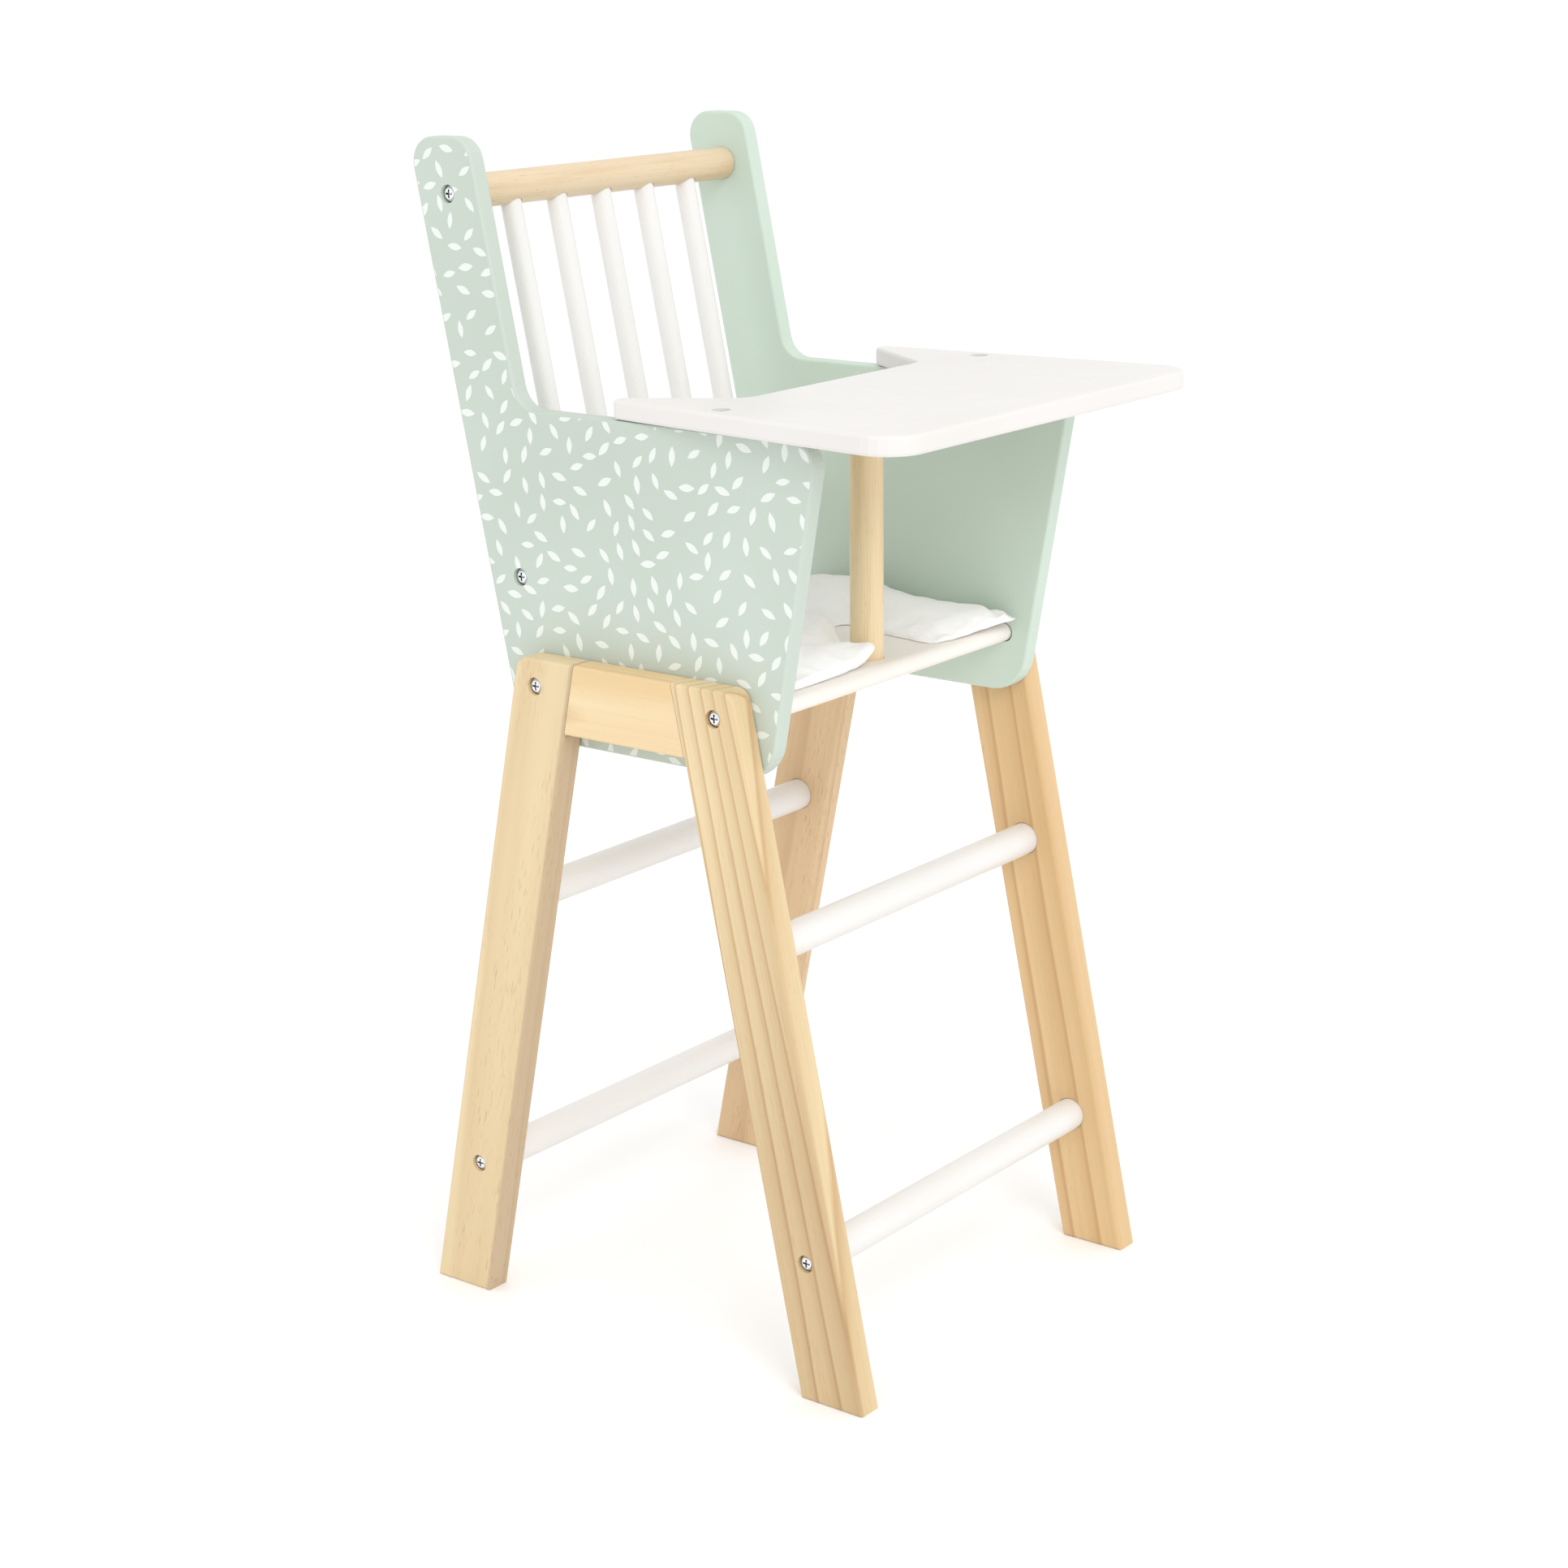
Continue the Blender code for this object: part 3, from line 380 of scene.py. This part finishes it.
# painted shade in the screws' cross recess
ZINC_RECESS_SHADE = linear(48, 64, 80)
RECESS_REACH = 0.0014       # how near the walls of the screws' cross recess stand
BRASS_DULL = linear(176, 140, 78)
BRASS_BRIGHT = linear(222, 190, 122)
COTTON_COMMON = linear(246, 245, 243)
COTTON_BRIGHT = linear(249, 248, 247)
COTTON_GAP = linear(216, 214, 211)

# Noise scales of the metals and the cotton, and how deep their bumps are
TURNING_SCALE = 1800
PLATING_SCALE = 420
BRASS_SCALE = 700
COTTON_SCALE = 45
THREAD_SCALE = 400
FUZZ_SCALE = 1500
CRUMPLE_SCALE = 75
ZINC_RELIEF = 0.0001
CRUMPLE_RELIEF = 0.0016
WEAVE_RELIEF = 0.00025


def zinc(name):
    """Bright plated steel with painted shade in the cross recess, and fine turning marks on the head.
    """
    finish = Finish(name)
    place = finish.place()
    marks = finish.noise(place, TURNING_SCALE, 2.0, 0.6)
    cloud = finish.noise(place, PLATING_SCALE, 2.0, 0.5)
    bright = finish.ramp(cloud, ((0.3, ZINC_DULL), (0.7, ZINC_BRIGHT)))
    # painted shade where the cross recess's walls close in
    recess_shade = finish.ramp(hollow_shade(finish, RECESS_REACH), ((0.30, 0.0), (0.58, 1.0)))
    colour = finish.mix(recess_shade, bright, ZINC_RECESS_SHADE)
    rough = finish.ramp(marks, ((0.3, 0.14), (0.75, 0.30)))
    normal = finish.bump(marks, 0.12, ZINC_RELIEF)
    return finish.set(Base_Color=colour, Metallic=0.65, Roughness=rough, Normal=normal)


def brass(name):
    """Plain turned brass, dull in patches."""
    finish = Finish(name)
    place = finish.place()
    cloud = finish.noise(place, BRASS_SCALE, 3.0, 0.6)
    colour = finish.ramp(cloud, ((0.3, BRASS_DULL), (0.7, BRASS_BRIGHT)))
    rough = finish.ramp(cloud, ((0.3, 0.28), (0.7, 0.45)))
    return finish.set(Base_Color=colour, Metallic=1.0, Roughness=rough)


def cotton(name):
    """Plain-woven white cotton: threads over and under at about 25 to the centimetre."""
    finish = Finish(name)
    place = finish.place()
    weft = finish.node("ShaderNodeTexWave", wave_type="BANDS", bands_direction="X")
    warp = finish.node("ShaderNodeTexWave", wave_type="BANDS", bands_direction="Y")
    for threads in (weft, warp):
        threads.inputs["Scale"].default_value = THREAD_SCALE
        threads.inputs["Distortion"].default_value = 0.6
        threads.inputs["Detail"].default_value = 1.0
        finish.link(place, threads.inputs["Vector"])
    weave = finish.maths("MULTIPLY", weft.outputs["Fac"], warp.outputs["Fac"])
    cloud = finish.noise(place, COTTON_SCALE, 3.0, 0.55)
    fuzz = finish.noise(place, FUZZ_SCALE, 2.0, 0.6)
    colour = finish.ramp(cloud, ((0.3, COTTON_COMMON), (0.7, COTTON_BRIGHT)))
    colour = finish.mix(finish.maths("MULTIPLY", weave, 0.08), colour, COTTON_GAP)
    crumple = finish.noise(place, CRUMPLE_SCALE, 4.0, 0.55, 0.8)
    soft = finish.bump(crumple, 0.35, CRUMPLE_RELIEF)
    height = finish.maths("ADD", weave, finish.maths("MULTIPLY", fuzz, 0.6))
    normal = finish.bump(height, 0.30, WEAVE_RELIEF, soft)
    return finish.set(Base_Color=colour, Roughness=0.92, Normal=normal,
                      Sheen_Weight=0.25, Sheen_Roughness=0.5,
                      Subsurface_Weight=0.05, Subsurface_Scale=0.002)


# Who wears what

def evaluated(piece):
    """A new mesh of a piece as it stands, with its modifiers or its curve's bevel applied."""
    graph = bpy.context.evaluated_depsgraph_get()
    return bpy.data.meshes.new_from_object(piece.evaluated_get(graph))


def wear(piece, material):
    """Give a piece one material, in the slots that it has."""
    if not piece.data.materials:
        piece.data.materials.append(material)
    for index in range(len(piece.data.materials)):
        piece.data.materials[index] = material


def grain_turn(end):
    """The turn that stands a leg's grain upright; -1 is a front leg, which leans back at its top."""
    return Euler((-end * LEAN, 0, 0))


def pine_look(tones, heart, straight, year, fan, wander, rings, flecks, seed):
    """How one pine piece was cut from its tree and how strongly its figure shows.

    heart is the tree's middle beside the piece's own, straight the radius of the ring that runs
    straight down it, year the width of a ring and fan how much it narrows for each metre up.
    wander is how far the rings stray, in years; rings and flecks are how strongly each shows.
    """
    return {"tones": tones, "heart": heart, "straight": straight, "year": year, "fan": fan,
            "wander": wander, "rings": rings, "flecks": flecks, "seed": seed}


PINE_LOOKS = {
    "left_front_leg": pine_look(FRESH_PINE, (0.030, 0.086), 0.088, 0.0087, 1.7, 0.5, 0.80, 0.15, 3.1),
    "left_rear_leg": pine_look(PLAIN_PINE, (0.130, -0.02), 0.130, 0.0110, 0.0, 1.0, 0.40, 0.30, 7.7),
    # the right-hand pieces' warmer, darker tones are partly painted shade of the far side
    "right_front_leg": pine_look(WARM_SHADED_PINE, (0.030, 0.060), 0.064, 0.0130, 0.6, 1.6, 0.85, 0.15, 11.3),
    "right_rear_leg": pine_look(DUSKY_SHADED_PINE, (-0.090, 0.050), 0.100, 0.0150, 0.8, 1.8, 0.45, 0.50, 17.9),
    "left_cross_rail": pine_look(RAIL_PINE, (-0.040, 0.004), 0.040, 0.0100, 2.5, 2.4, 0.60, 0.10, 23.0),
    "right_cross_rail": pine_look(WARM_SHADED_PINE, (0.040, 0.010), 0.041, 0.0110, 1.5, 1.8, 0.50, 0.20, 31.0),
}


def dress_pine(name, piece):
    """The grain runs along the piece: up a leg, and from front to back in a cross rail."""
    if name.endswith("cross_rail"):
        turn = Euler((math.pi / 2, 0, 0))
    else:
        turn = grain_turn(-1 if "front" in name else 1)
    low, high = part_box(name)
    middle = turn.to_matrix() @ ((low + high) / 2)
    wear(piece, pine(name, turn, middle, PINE_LOOKS[name]))


# Each beech bar's tones, the axis that it lies along and its seed
BEECH_LOOKS = {
    "tray_post": (POST_BEECH, (0, 0, 1), 2.0),
    "back_top_rail": (RAIL_BEECH, (1, 0, 0), 5.0),
    "back_lower_rail": (RAIL_BEECH, (1, 0, 0), 9.0),
}
BOARD_PAINTS = {
    "left_panel": "near_sage_paint",
    # lighter sage: painted light on the shaded inner face
    "right_panel": "far_sage_painted_light",
    "seat_board": "cream_paint",
    # darker white: painted shade on the tray's lit top
    "tray": "tray_white_painted_shade",
}


def finish_nodes():
    """Give each CAD node its material; spindles and stretchers are plain white."""
    white = paint("white_paint")
    steel = zinc("zinc")
    yellow = brass("brass")
    for name, piece in NODES.items():
        if name in PINE_LOOKS:
            dress_pine(name, piece)
        elif name in BEECH_LOOKS:
            wear(piece, beech(name, *BEECH_LOOKS[name]))
        elif name in BOARD_PAINTS:
            wear(piece, paint(BOARD_PAINTS[name]))
        elif name.endswith("_screw"):
            wear(piece, steel)
        elif name.endswith("_insert"):
            wear(piece, yellow)
        else:
            wear(piece, white)


# Seed marks on the panels

MARK_LENGTH = 0.0088
MARK_WIDTH = 0.0034
MARK_SPACING = 0.0094
MARK_SIZES = (0.92, 1.08)           # the smallest and the largest, as shares of the common size
MARK_STEPS = 7                      # along one side of a mark
MARK_FULLNESS = 0.9                 # below 1 the oval is a little fuller than a sine
MARK_PROUD = 0.00004
MARK_DEPTH = 0.0012                 # how far the cutting prism reaches to either side of the face
MARK_SEEDS = {"left": 41, "right": 67}
MISSES_ALLOWED = 4000               # tries in a row without a free place before the panel is full
OUTWARD = 0.95                      # the least share of its normal that a kept face turns outward


def scatter(low, high, spacing, seed):
    """Places with an even, unordered spread, no two nearer than the spacing."""
    chance = random.Random(seed)
    places = []
    misses = 0
    while misses < MISSES_ALLOWED:
        spot = (chance.uniform(low[0], high[0]), chance.uniform(low[1], high[1]))
        if all((spot[0] - y) ** 2 + (spot[1] - z) ** 2 > spacing ** 2 for y, z, _ in places):
            places.append((*spot, chance.uniform(0, math.pi)))
            misses = 0
        else:
            misses += 1
    return places


def lens_outline():
    """A pointed oval, widest in the middle."""
    upper = []
    for step in range(MARK_STEPS + 1):
        share = step / MARK_STEPS
        half = MARK_WIDTH / 2 * math.sin(math.pi * share) ** MARK_FULLNESS
        upper.append((MARK_LENGTH * (share - 0.5), half))
    return upper + [(u, -v) for u, v in reversed(upper[1:-1])]


def mark_prisms(side, panel_box, seed):
    """Thin prisms, one for each seed mark, standing through the panel's outer face."""
    low, high = panel_box
    outer = low.x if side < 0 else high.x
    shape = bmesh.new()
    chance = random.Random(seed + 1)
    spots = scatter((low.y, low.z), (high.y, high.z), MARK_SPACING, seed)
    for y, z, angle in spots:
        size = chance.uniform(*MARK_SIZES)
        cosine, sine = math.cos(angle), math.sin(angle)
        ends = []
        for x in (outer + side * MARK_DEPTH, outer - side * MARK_DEPTH):
            ends.append([shape.verts.new((x, y + (u * cosine - v * sine) * size,
                                          z + (u * sine + v * cosine) * size))
                         for u, v in lens_outline()])
        shape.faces.new(ends[0])
        shape.faces.new(list(reversed(ends[1])))
        count = len(ends[0])
        for index in range(count):
            following = (index + 1) % count
            shape.faces.new((ends[0][following], ends[0][index], ends[1][index], ends[1][following]))
    bmesh.ops.recalc_face_normals(shape, faces=shape.faces)
    mesh = bpy.data.meshes.new("marks")
    shape.to_mesh(mesh)
    shape.free()
    return mesh


def add_marks(side_name, side):
    """The white seed marks, cut to the panel's own outer face and a hair proud of it."""
    panel = NODES[f"{side_name}_panel"]
    prisms = mark_prisms(side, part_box(panel.name), MARK_SEEDS[side_name])
    marks = bpy.data.objects.new(f"{side_name}_seed_marks", prisms)
    skin = bpy.data.objects.new(f"{side_name}_marks_skin", panel.data.copy())
    skin.location = (side * MARK_PROUD, 0, 0)
    for thing in (marks, skin):
        bpy.context.scene.collection.objects.link(thing)
    cut = marks.modifiers.new("cut", "BOOLEAN")
    cut.operation = "INTERSECT"
    cut.solver = "EXACT"
    cut.object = skin
    bpy.context.view_layer.update()
    mesh = evaluated(marks)
    marks.modifiers.clear()
    marks.data = mesh
    bpy.data.objects.remove(skin, do_unlink=True)
    shape = bmesh.new()
    shape.from_mesh(mesh)
    hidden = [face for face in shape.faces if face.normal.x * side < OUTWARD]
    bmesh.ops.delete(shape, geom=hidden, context="FACES")
    shape.to_mesh(mesh)
    shape.free()
    mesh.materials.clear()
    mesh.materials.append(paint(f"{side_name}_mark_paint"))
    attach(marks, "chair")


# Seat pad: a net over the CAD pad's form, swelled as cloth, creased as listed and seamed

PAD_NET = 0.0023
PAD_REST = 0.00026                      # how far the CAD pad hangs above the board that it rests on
PAD_SWELL = 0.0040                      # the most that the cloth may move from the CAD form
CLOTH_FRAMES = 20
HELD_GROUP = "held"
UNDERSIDE = 0.0012                      # cloth lower than this lies on the board and is held
RIM = 0.6                               # cloth steeper than this, in its normal's z, is held too
SEAM_HEIGHT = 0.0044
SEAM_DROP = 0.0040                      # the pad's weight presses its seam down towards the board
SEAM_RADIUS = 0.00035
RIM_START = 0.002                       # the form rises with its seam from here to SEAM_HEIGHT
TOP_HEIGHTS = (0.003, 0.010)            # creases and swells come in between these heights
SIDE_LIFT = 0.0040                      # the right side turns up against the panel
SIDE_REAR_LIFT = 0.0035                 # and more so towards the back
SIDE_ACROSS = (0.045, 0.092)            # where that starts and is full, in x
SIDE_ALONG = (-0.02, 0.06)              # and in y
WHOLE_CORNER = (-0.040, -0.005)         # in y: in front of it the underside is carried up too
TIP = Vector((-0.012, -0.050, 0))       # the left lobe's corner, beside the post
TIP_LIFT = 0.0045
TIP_SPREAD = 0.026
TIP_REACH = 0.0042
TIP_REACH_SPREAD = (0.013, 0.013)
CORNER = Vector((0.092, -0.058, 0))     # the right front corner lies on the board's rounded edge
CORNER_REACH = 0.0030
CORNER_SPREAD = 0.018
CREASE_FADE = 0.6                       # how much of its depth a crease has lost at its far end
UNEVEN_HEIGHT = 0.0009                  # small unevenness of the filling
UNEVEN_SCALE = 34
UNEVEN_SLICE = 3.1

# Places (x, y) where the notch's edge stands up from the board, with their spread and height
EARS = (
    ((0.003, -0.021), 0.014, 0.0095),
    ((-0.010, -0.048), 0.015, 0.0026),
)

# Valleys in the top, each from one place to another (x, y), with its width and depth
CREASES = (
    ((0.003, -0.037), (-0.048, -0.025), 0.0050, 0.0036),
    ((0.058, -0.006), (0.048, -0.040), 0.0036, 0.0016),
    ((0.044, -0.046), (0.066, -0.051), 0.0030, 0.0013),
    ((0.040, -0.052), (0.052, -0.034), 0.0026, 0.0012),
    ((0.030, 0.030), (0.072, 0.006), 0.0045, 0.0014),
    ((0.089, -0.029), (0.045, -0.012), 0.0050, 0.0009),
    ((-0.040, 0.040), (-0.010, 0.020), 0.0045, 0.0013),
    ((-0.070, -0.046), (-0.036, -0.036), 0.0040, 0.0014),
    ((-0.080, 0.010), (-0.050, 0.026), 0.0050, 0.0012),
)

# Swells (x, y), each with its half lengths in x and y and its height
SWELLS = (
    ((-0.006, -0.021), (0.020, 0.010), 0.0064),
    ((-0.018, -0.046), (0.014, 0.010), 0.0036),
    ((0.070, -0.022), (0.030, 0.020), -0.0012),
    ((0.070, -0.040), (0.017, 0.013), -0.0022),
    ((0.090, -0.055), (0.011, 0.010), 0.0052),
    ((-0.060, -0.040), (0.022, 0.010), 0.0010),
)


def pad_net(source):
    """The CAD pad's form as an even net of small faces."""
    pad = bpy.data.objects.new("cotton_pad", source.data.copy())
    bpy.context.scene.collection.objects.link(pad)
    remesh = pad.modifiers.new("remesh", "REMESH")
    remesh.mode = "VOXEL"
    remesh.voxel_size = PAD_NET
    smooth = pad.modifiers.new("smooth", "SMOOTH")
    smooth.factor = 0.5
    smooth.iterations = 3
    bpy.context.view_layer.update()
    mesh = evaluated(pad)
    pad.modifiers.clear()
    pad.data = mesh
    return pad


def hold_rim(pad, floor_height):
    """The underside, which the board holds, and the rim, which the seam holds in its outline."""
    held = pad.vertex_groups.new(name=HELD_GROUP)
    for point in pad.data.vertices:
        if point.co.z < floor_height + UNDERSIDE or abs(point.normal.z) < RIM:
            held.add([point.index], 1.0, "REPLACE")


def swell_cloth(pad):
    """Fill the pad with air for some frames; its cloth is cut a little large for its outline."""
    cloth = pad.modifiers.new("cloth", "CLOTH")
    settings = cloth.settings
    settings.quality = 6
    settings.mass = 0.15
    settings.tension_stiffness = 12
    settings.compression_stiffness = 6
    settings.shear_stiffness = 4
    settings.bending_stiffness = 0.5
    settings.vertex_group_mass = HELD_GROUP
    settings.shrink_min = -0.03
    settings.use_pressure = True
    settings.uniform_pressure_force = 6
    settings.effector_weights.gravity = 0
    cloth.collision_settings.use_collision = False
    cloth.point_cache.frame_end = CLOTH_FRAMES
    for frame_number in range(1, CLOTH_FRAMES + 1):
        bpy.context.scene.frame_set(frame_number)
    moved = evaluated(pad)
    bpy.context.scene.frame_set(1)
    pad.modifiers.clear()
    for old, new in zip(pad.data.vertices, moved.vertices):
        move = new.co - old.co
        old.co += move * min(1, PAD_SWELL / max(move.length, PAD_SWELL / 10))


def lying(place):
    """A place as seen from above."""
    return Vector((place.x, place.y, 0))


def bell(place, centre, spread):
    """1 at the centre as seen from above, falling away over the spread."""
    return math.exp(-((lying(place) - centre).length / spread) ** 2)


def crease_depth(place, start, end, width, depth):
    """How far a crease pulls the cloth down at a place; it grows fainter towards its end."""
    start, end = Vector((*start, 0)), Vector((*end, 0))
    run = end - start
    share = (lying(place) - start).dot(run) / run.length_squared
    inside = min(1, max(0, share))
    away = (lying(place) - start - run * inside).length
    return depth * math.exp(-(away / width) ** 2) * (1 - CREASE_FADE * inside)


def swell_height(place, centre, reach, height):
    """How far an oval swell lifts the cloth at a place."""
    across = (place.x - centre[0]) / reach[0]
    along = (place.y - centre[1]) / reach[1]
    return height * math.exp(-across * across - along * along)


def tip_lift(place):
    """How far the lobe's corner beside the post carries the seam up."""
    return TIP_LIFT * bell(place, TIP, TIP_SPREAD)


def eased(value, start, end):
    """0 up to the start and 1 from the end on, with a smooth step between them."""
    share = min(1, max(0, (value - start) / (end - start)))
    return share * share * (3 - 2 * share)


def side_lift(place):
    """How far the panel carries the pad's right side up."""
    height = SIDE_LIFT + SIDE_REAR_LIFT * eased(place.y, *SIDE_ALONG)
    return eased(place.x, *SIDE_ACROSS) * height


def ear_lift(place):
    """How far the notch's edge stands up from the board."""
    return sum(swell_height(place, centre, (spread, spread), height)
               for centre, spread, height in EARS)


def unevenness(place):
    """The filling's small bumps at a place."""
    spot = Vector((place.x * UNEVEN_SCALE, place.y * UNEVEN_SCALE, UNEVEN_SLICE))
    return UNEVEN_HEIGHT * noise.fractal(spot, 0.9, 2.0, 3)


def form_pad(pad, low, high):
    """Creases, swells and small unevenness on the top; the underside lies flat on the board.

    The seam is carried up at the notch and along the right side, and the front corner as a whole.
    """
    for point in pad.data.vertices:
        place = point.co
        lift = eased(place.z - low.z, *TOP_HEIGHTS)
        rim = eased(place.z - low.z, RIM_START, SEAM_HEIGHT)
        change = sum(swell_height(place, *swell) for swell in SWELLS)
        change -= sum(crease_depth(place, *crease) for crease in CREASES)
        height = place.z - low.z + (change + unevenness(place)) * lift
        place.x += swell_height(place, TIP, TIP_REACH_SPREAD, TIP_REACH)
        place.y -= CORNER_REACH * bell(place, CORNER, CORNER_SPREAD)
        place.x = min(high.x, max(low.x, place.x))
        carried = rim + (1 - rim) * (1 - eased(place.y, *WHOLE_CORNER))
        place.z = (low.z - PAD_REST + max(0, height - SEAM_DROP) + ear_lift(place) * rim
                   + side_lift(place) * carried)


def smooth_once(pad):
    """One subdivision, so that the creases read as cloth and not as facets."""
    finer = pad.modifiers.new("finer", "SUBSURF")
    finer.levels = 1
    finer.render_levels = 1
    bpy.context.view_layer.update()
    mesh = evaluated(pad)
    pad.modifiers.clear()
    pad.data = mesh
    mesh.shade_smooth()


def ordered_loop(edges):
    """The points of the longest closed run of edges, in order."""
    left = dict.fromkeys(edges)
    longest = []
    while left:
        edge = next(iter(left))
        del left[edge]
        first, last = edge.verts
        loop = [first, last]
        while last is not first:
            following = [other for other in last.link_edges if other in left]
            if not following:
                break
            del left[following[0]]
            last = following[0].other_vert(last)
            loop.append(last)
        if len(loop) > len(longest):
            longest = loop
    return [point.co.copy() for point in longest[:-1]]


def seam_lift(place):
    """How far the seam is carried up from its own height over the board."""
    return tip_lift(place) + side_lift(place) + ear_lift(place)


def seam_places(pad, low):
    """Where the two sheets of the pad meet: a line round it at the seam's height."""
    shape = bmesh.new()
    shape.from_mesh(pad.data)
    for point in shape.verts:
        point.co.z -= seam_lift(point.co)
    height = low.z - PAD_REST + SEAM_HEIGHT - SEAM_DROP
    parted = bmesh.ops.bisect_plane(shape, geom=shape.verts[:] + shape.edges[:] + shape.faces[:],
                                    plane_co=(0, 0, height), plane_no=(0, 0, 1))
    line = [item for item in parted["geom_cut"] if isinstance(item, bmesh.types.BMEdge)]
    places = ordered_loop(line)
    shape.free()
    for place in places:
        place.z += seam_lift(place)
    return places


def add_seam(pad, low, material):
    """The pad's sewn edge, a fine raised cord."""
    places = seam_places(pad, low)[::2]
    data = bpy.data.curves.new("pad_seam", "CURVE")
    data.dimensions = "3D"
    data.bevel_depth = SEAM_RADIUS
    data.bevel_resolution = 1
    spline = data.splines.new("POLY")
    spline.points.add(len(places) - 1)
    for index, target in enumerate(spline.points):
        smoothed = (places[index - 1] + places[index] * 2 + places[(index + 1) % len(places)]) / 4
        target.co = (*smoothed, 1)
    spline.use_cyclic_u = True
    cord = bpy.data.objects.new("pad_seam_line", data)
    bpy.context.scene.collection.objects.link(cord)
    bpy.context.view_layer.update()
    seam = bpy.data.objects.new("pad_seam", evaluated(cord))
    bpy.context.scene.collection.objects.link(seam)
    bpy.data.objects.remove(cord, do_unlink=True)
    wear(seam, material)
    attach(seam, "pad")


def make_pad():
    """The cotton pad and its seam, in the CAD pad's place."""
    low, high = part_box("seat_pad")
    pad = pad_net(NODES["seat_pad"])
    hold_rim(pad, low.z)
    swell_cloth(pad)
    form_pad(pad, low, high)
    smooth_once(pad)
    material = cotton("cotton")
    wear(pad, material)
    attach(pad, "pad")
    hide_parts("seat_pad")
    add_seam(pad, low, material)


# Floor, light and camera

FLOOR_SIZE = 90                         # wide enough to pass behind the view's upper edge
FLOOR_WHITES = (0.965, 0.975)
SKY_STRENGTH = 1.05
KEY_PLACE = (-1.2, -1.9, 2.2)
KEY_SIZE = 1.6
KEY_WATTS = 25
CHAIR_MIDDLE = (0, 0, 0.33)


def make_floor():
    """A plain white table top without an edge in sight."""
    mesh = bpy.data.meshes.new("floor")
    shape = bmesh.new()
    bmesh.ops.create_grid(shape, x_segments=2, y_segments=2, size=FLOOR_SIZE)
    shape.to_mesh(mesh)
    shape.free()
    floor = bpy.data.objects.new("floor", mesh)
    bpy.context.scene.collection.objects.link(floor)
    finish = Finish("floor")
    cloud = finish.noise(finish.place(), 2.0, 2.0, 0.5)
    colour = finish.ramp(cloud, ((0.3, FLOOR_WHITES[0]), (0.7, FLOOR_WHITES[1])))
    wear(floor, finish.set(Base_Color=colour, Roughness=0.9))


def make_light():
    """A white sky all round and one large soft lamp from the front left."""
    world = bpy.data.worlds.new("studio")
    world.use_nodes = True
    background = world.node_tree.nodes["Background"]
    background.inputs["Color"].default_value = (1, 1, 1, 1)
    background.inputs["Strength"].default_value = SKY_STRENGTH
    bpy.context.scene.world = world
    data = bpy.data.lights.new("key", "AREA")
    data.shape = "DISK"
    data.size = KEY_SIZE
    data.energy = KEY_WATTS
    key = bpy.data.objects.new("key", data)
    key.location = KEY_PLACE
    aim = Vector(CHAIR_MIDDLE) - Vector(KEY_PLACE)
    key.rotation_euler = aim.to_track_quat("-Z", "Y").to_euler()
    bpy.context.scene.collection.objects.link(key)


# The photo's own view: azimuth 0 is straight in front, and a negative one is on the chair's left
CAMERA_PLACE = (-1.14685, -0.87142, 0.66280)
CAMERA_AZIMUTH = math.radians(-52.415186)
CAMERA_ELEVATION = math.radians(15.856953)
CAMERA_ROLL = math.radians(-0.723231)
FOCAL_PIXELS = 3793.456
PHOTO_PIXELS = 1932
SENSOR_WIDTH = 36
VIEW_DEPTH = 200


def make_camera():
    """A camera at the photo's place, turned by its azimuth, elevation and roll."""
    data = bpy.data.cameras.new("camera")
    data.sensor_fit = "HORIZONTAL"
    data.sensor_width = SENSOR_WIDTH
    data.lens = SENSOR_WIDTH * FOCAL_PIXELS / PHOTO_PIXELS
    data.clip_end = VIEW_DEPTH
    camera = bpy.data.objects.new("camera", data)
    azimuth, elevation, roll = CAMERA_AZIMUTH, CAMERA_ELEVATION, CAMERA_ROLL
    back = Vector((math.sin(azimuth) * math.cos(elevation),
                   -math.cos(azimuth) * math.cos(elevation),
                   math.sin(elevation)))
    right = Vector((math.cos(azimuth), math.sin(azimuth), 0))
    up = back.cross(right)
    turned_right = right * math.cos(roll) + up * math.sin(roll)
    turned_up = up * math.cos(roll) - right * math.sin(roll)
    turn = Matrix((turned_right, turned_up, back)).transposed().to_4x4()
    camera.matrix_world = Matrix.Translation(CAMERA_PLACE) @ turn
    bpy.context.scene.collection.objects.link(camera)
    bpy.context.scene.camera = camera


bpy.context.scene.view_settings.view_transform = "Standard"
bpy.context.scene.view_settings.look = "None"
make_camera()
finish_nodes()
for side_name, side in SIDES:
    add_marks(side_name, side)
make_pad()
make_floor()
make_light()
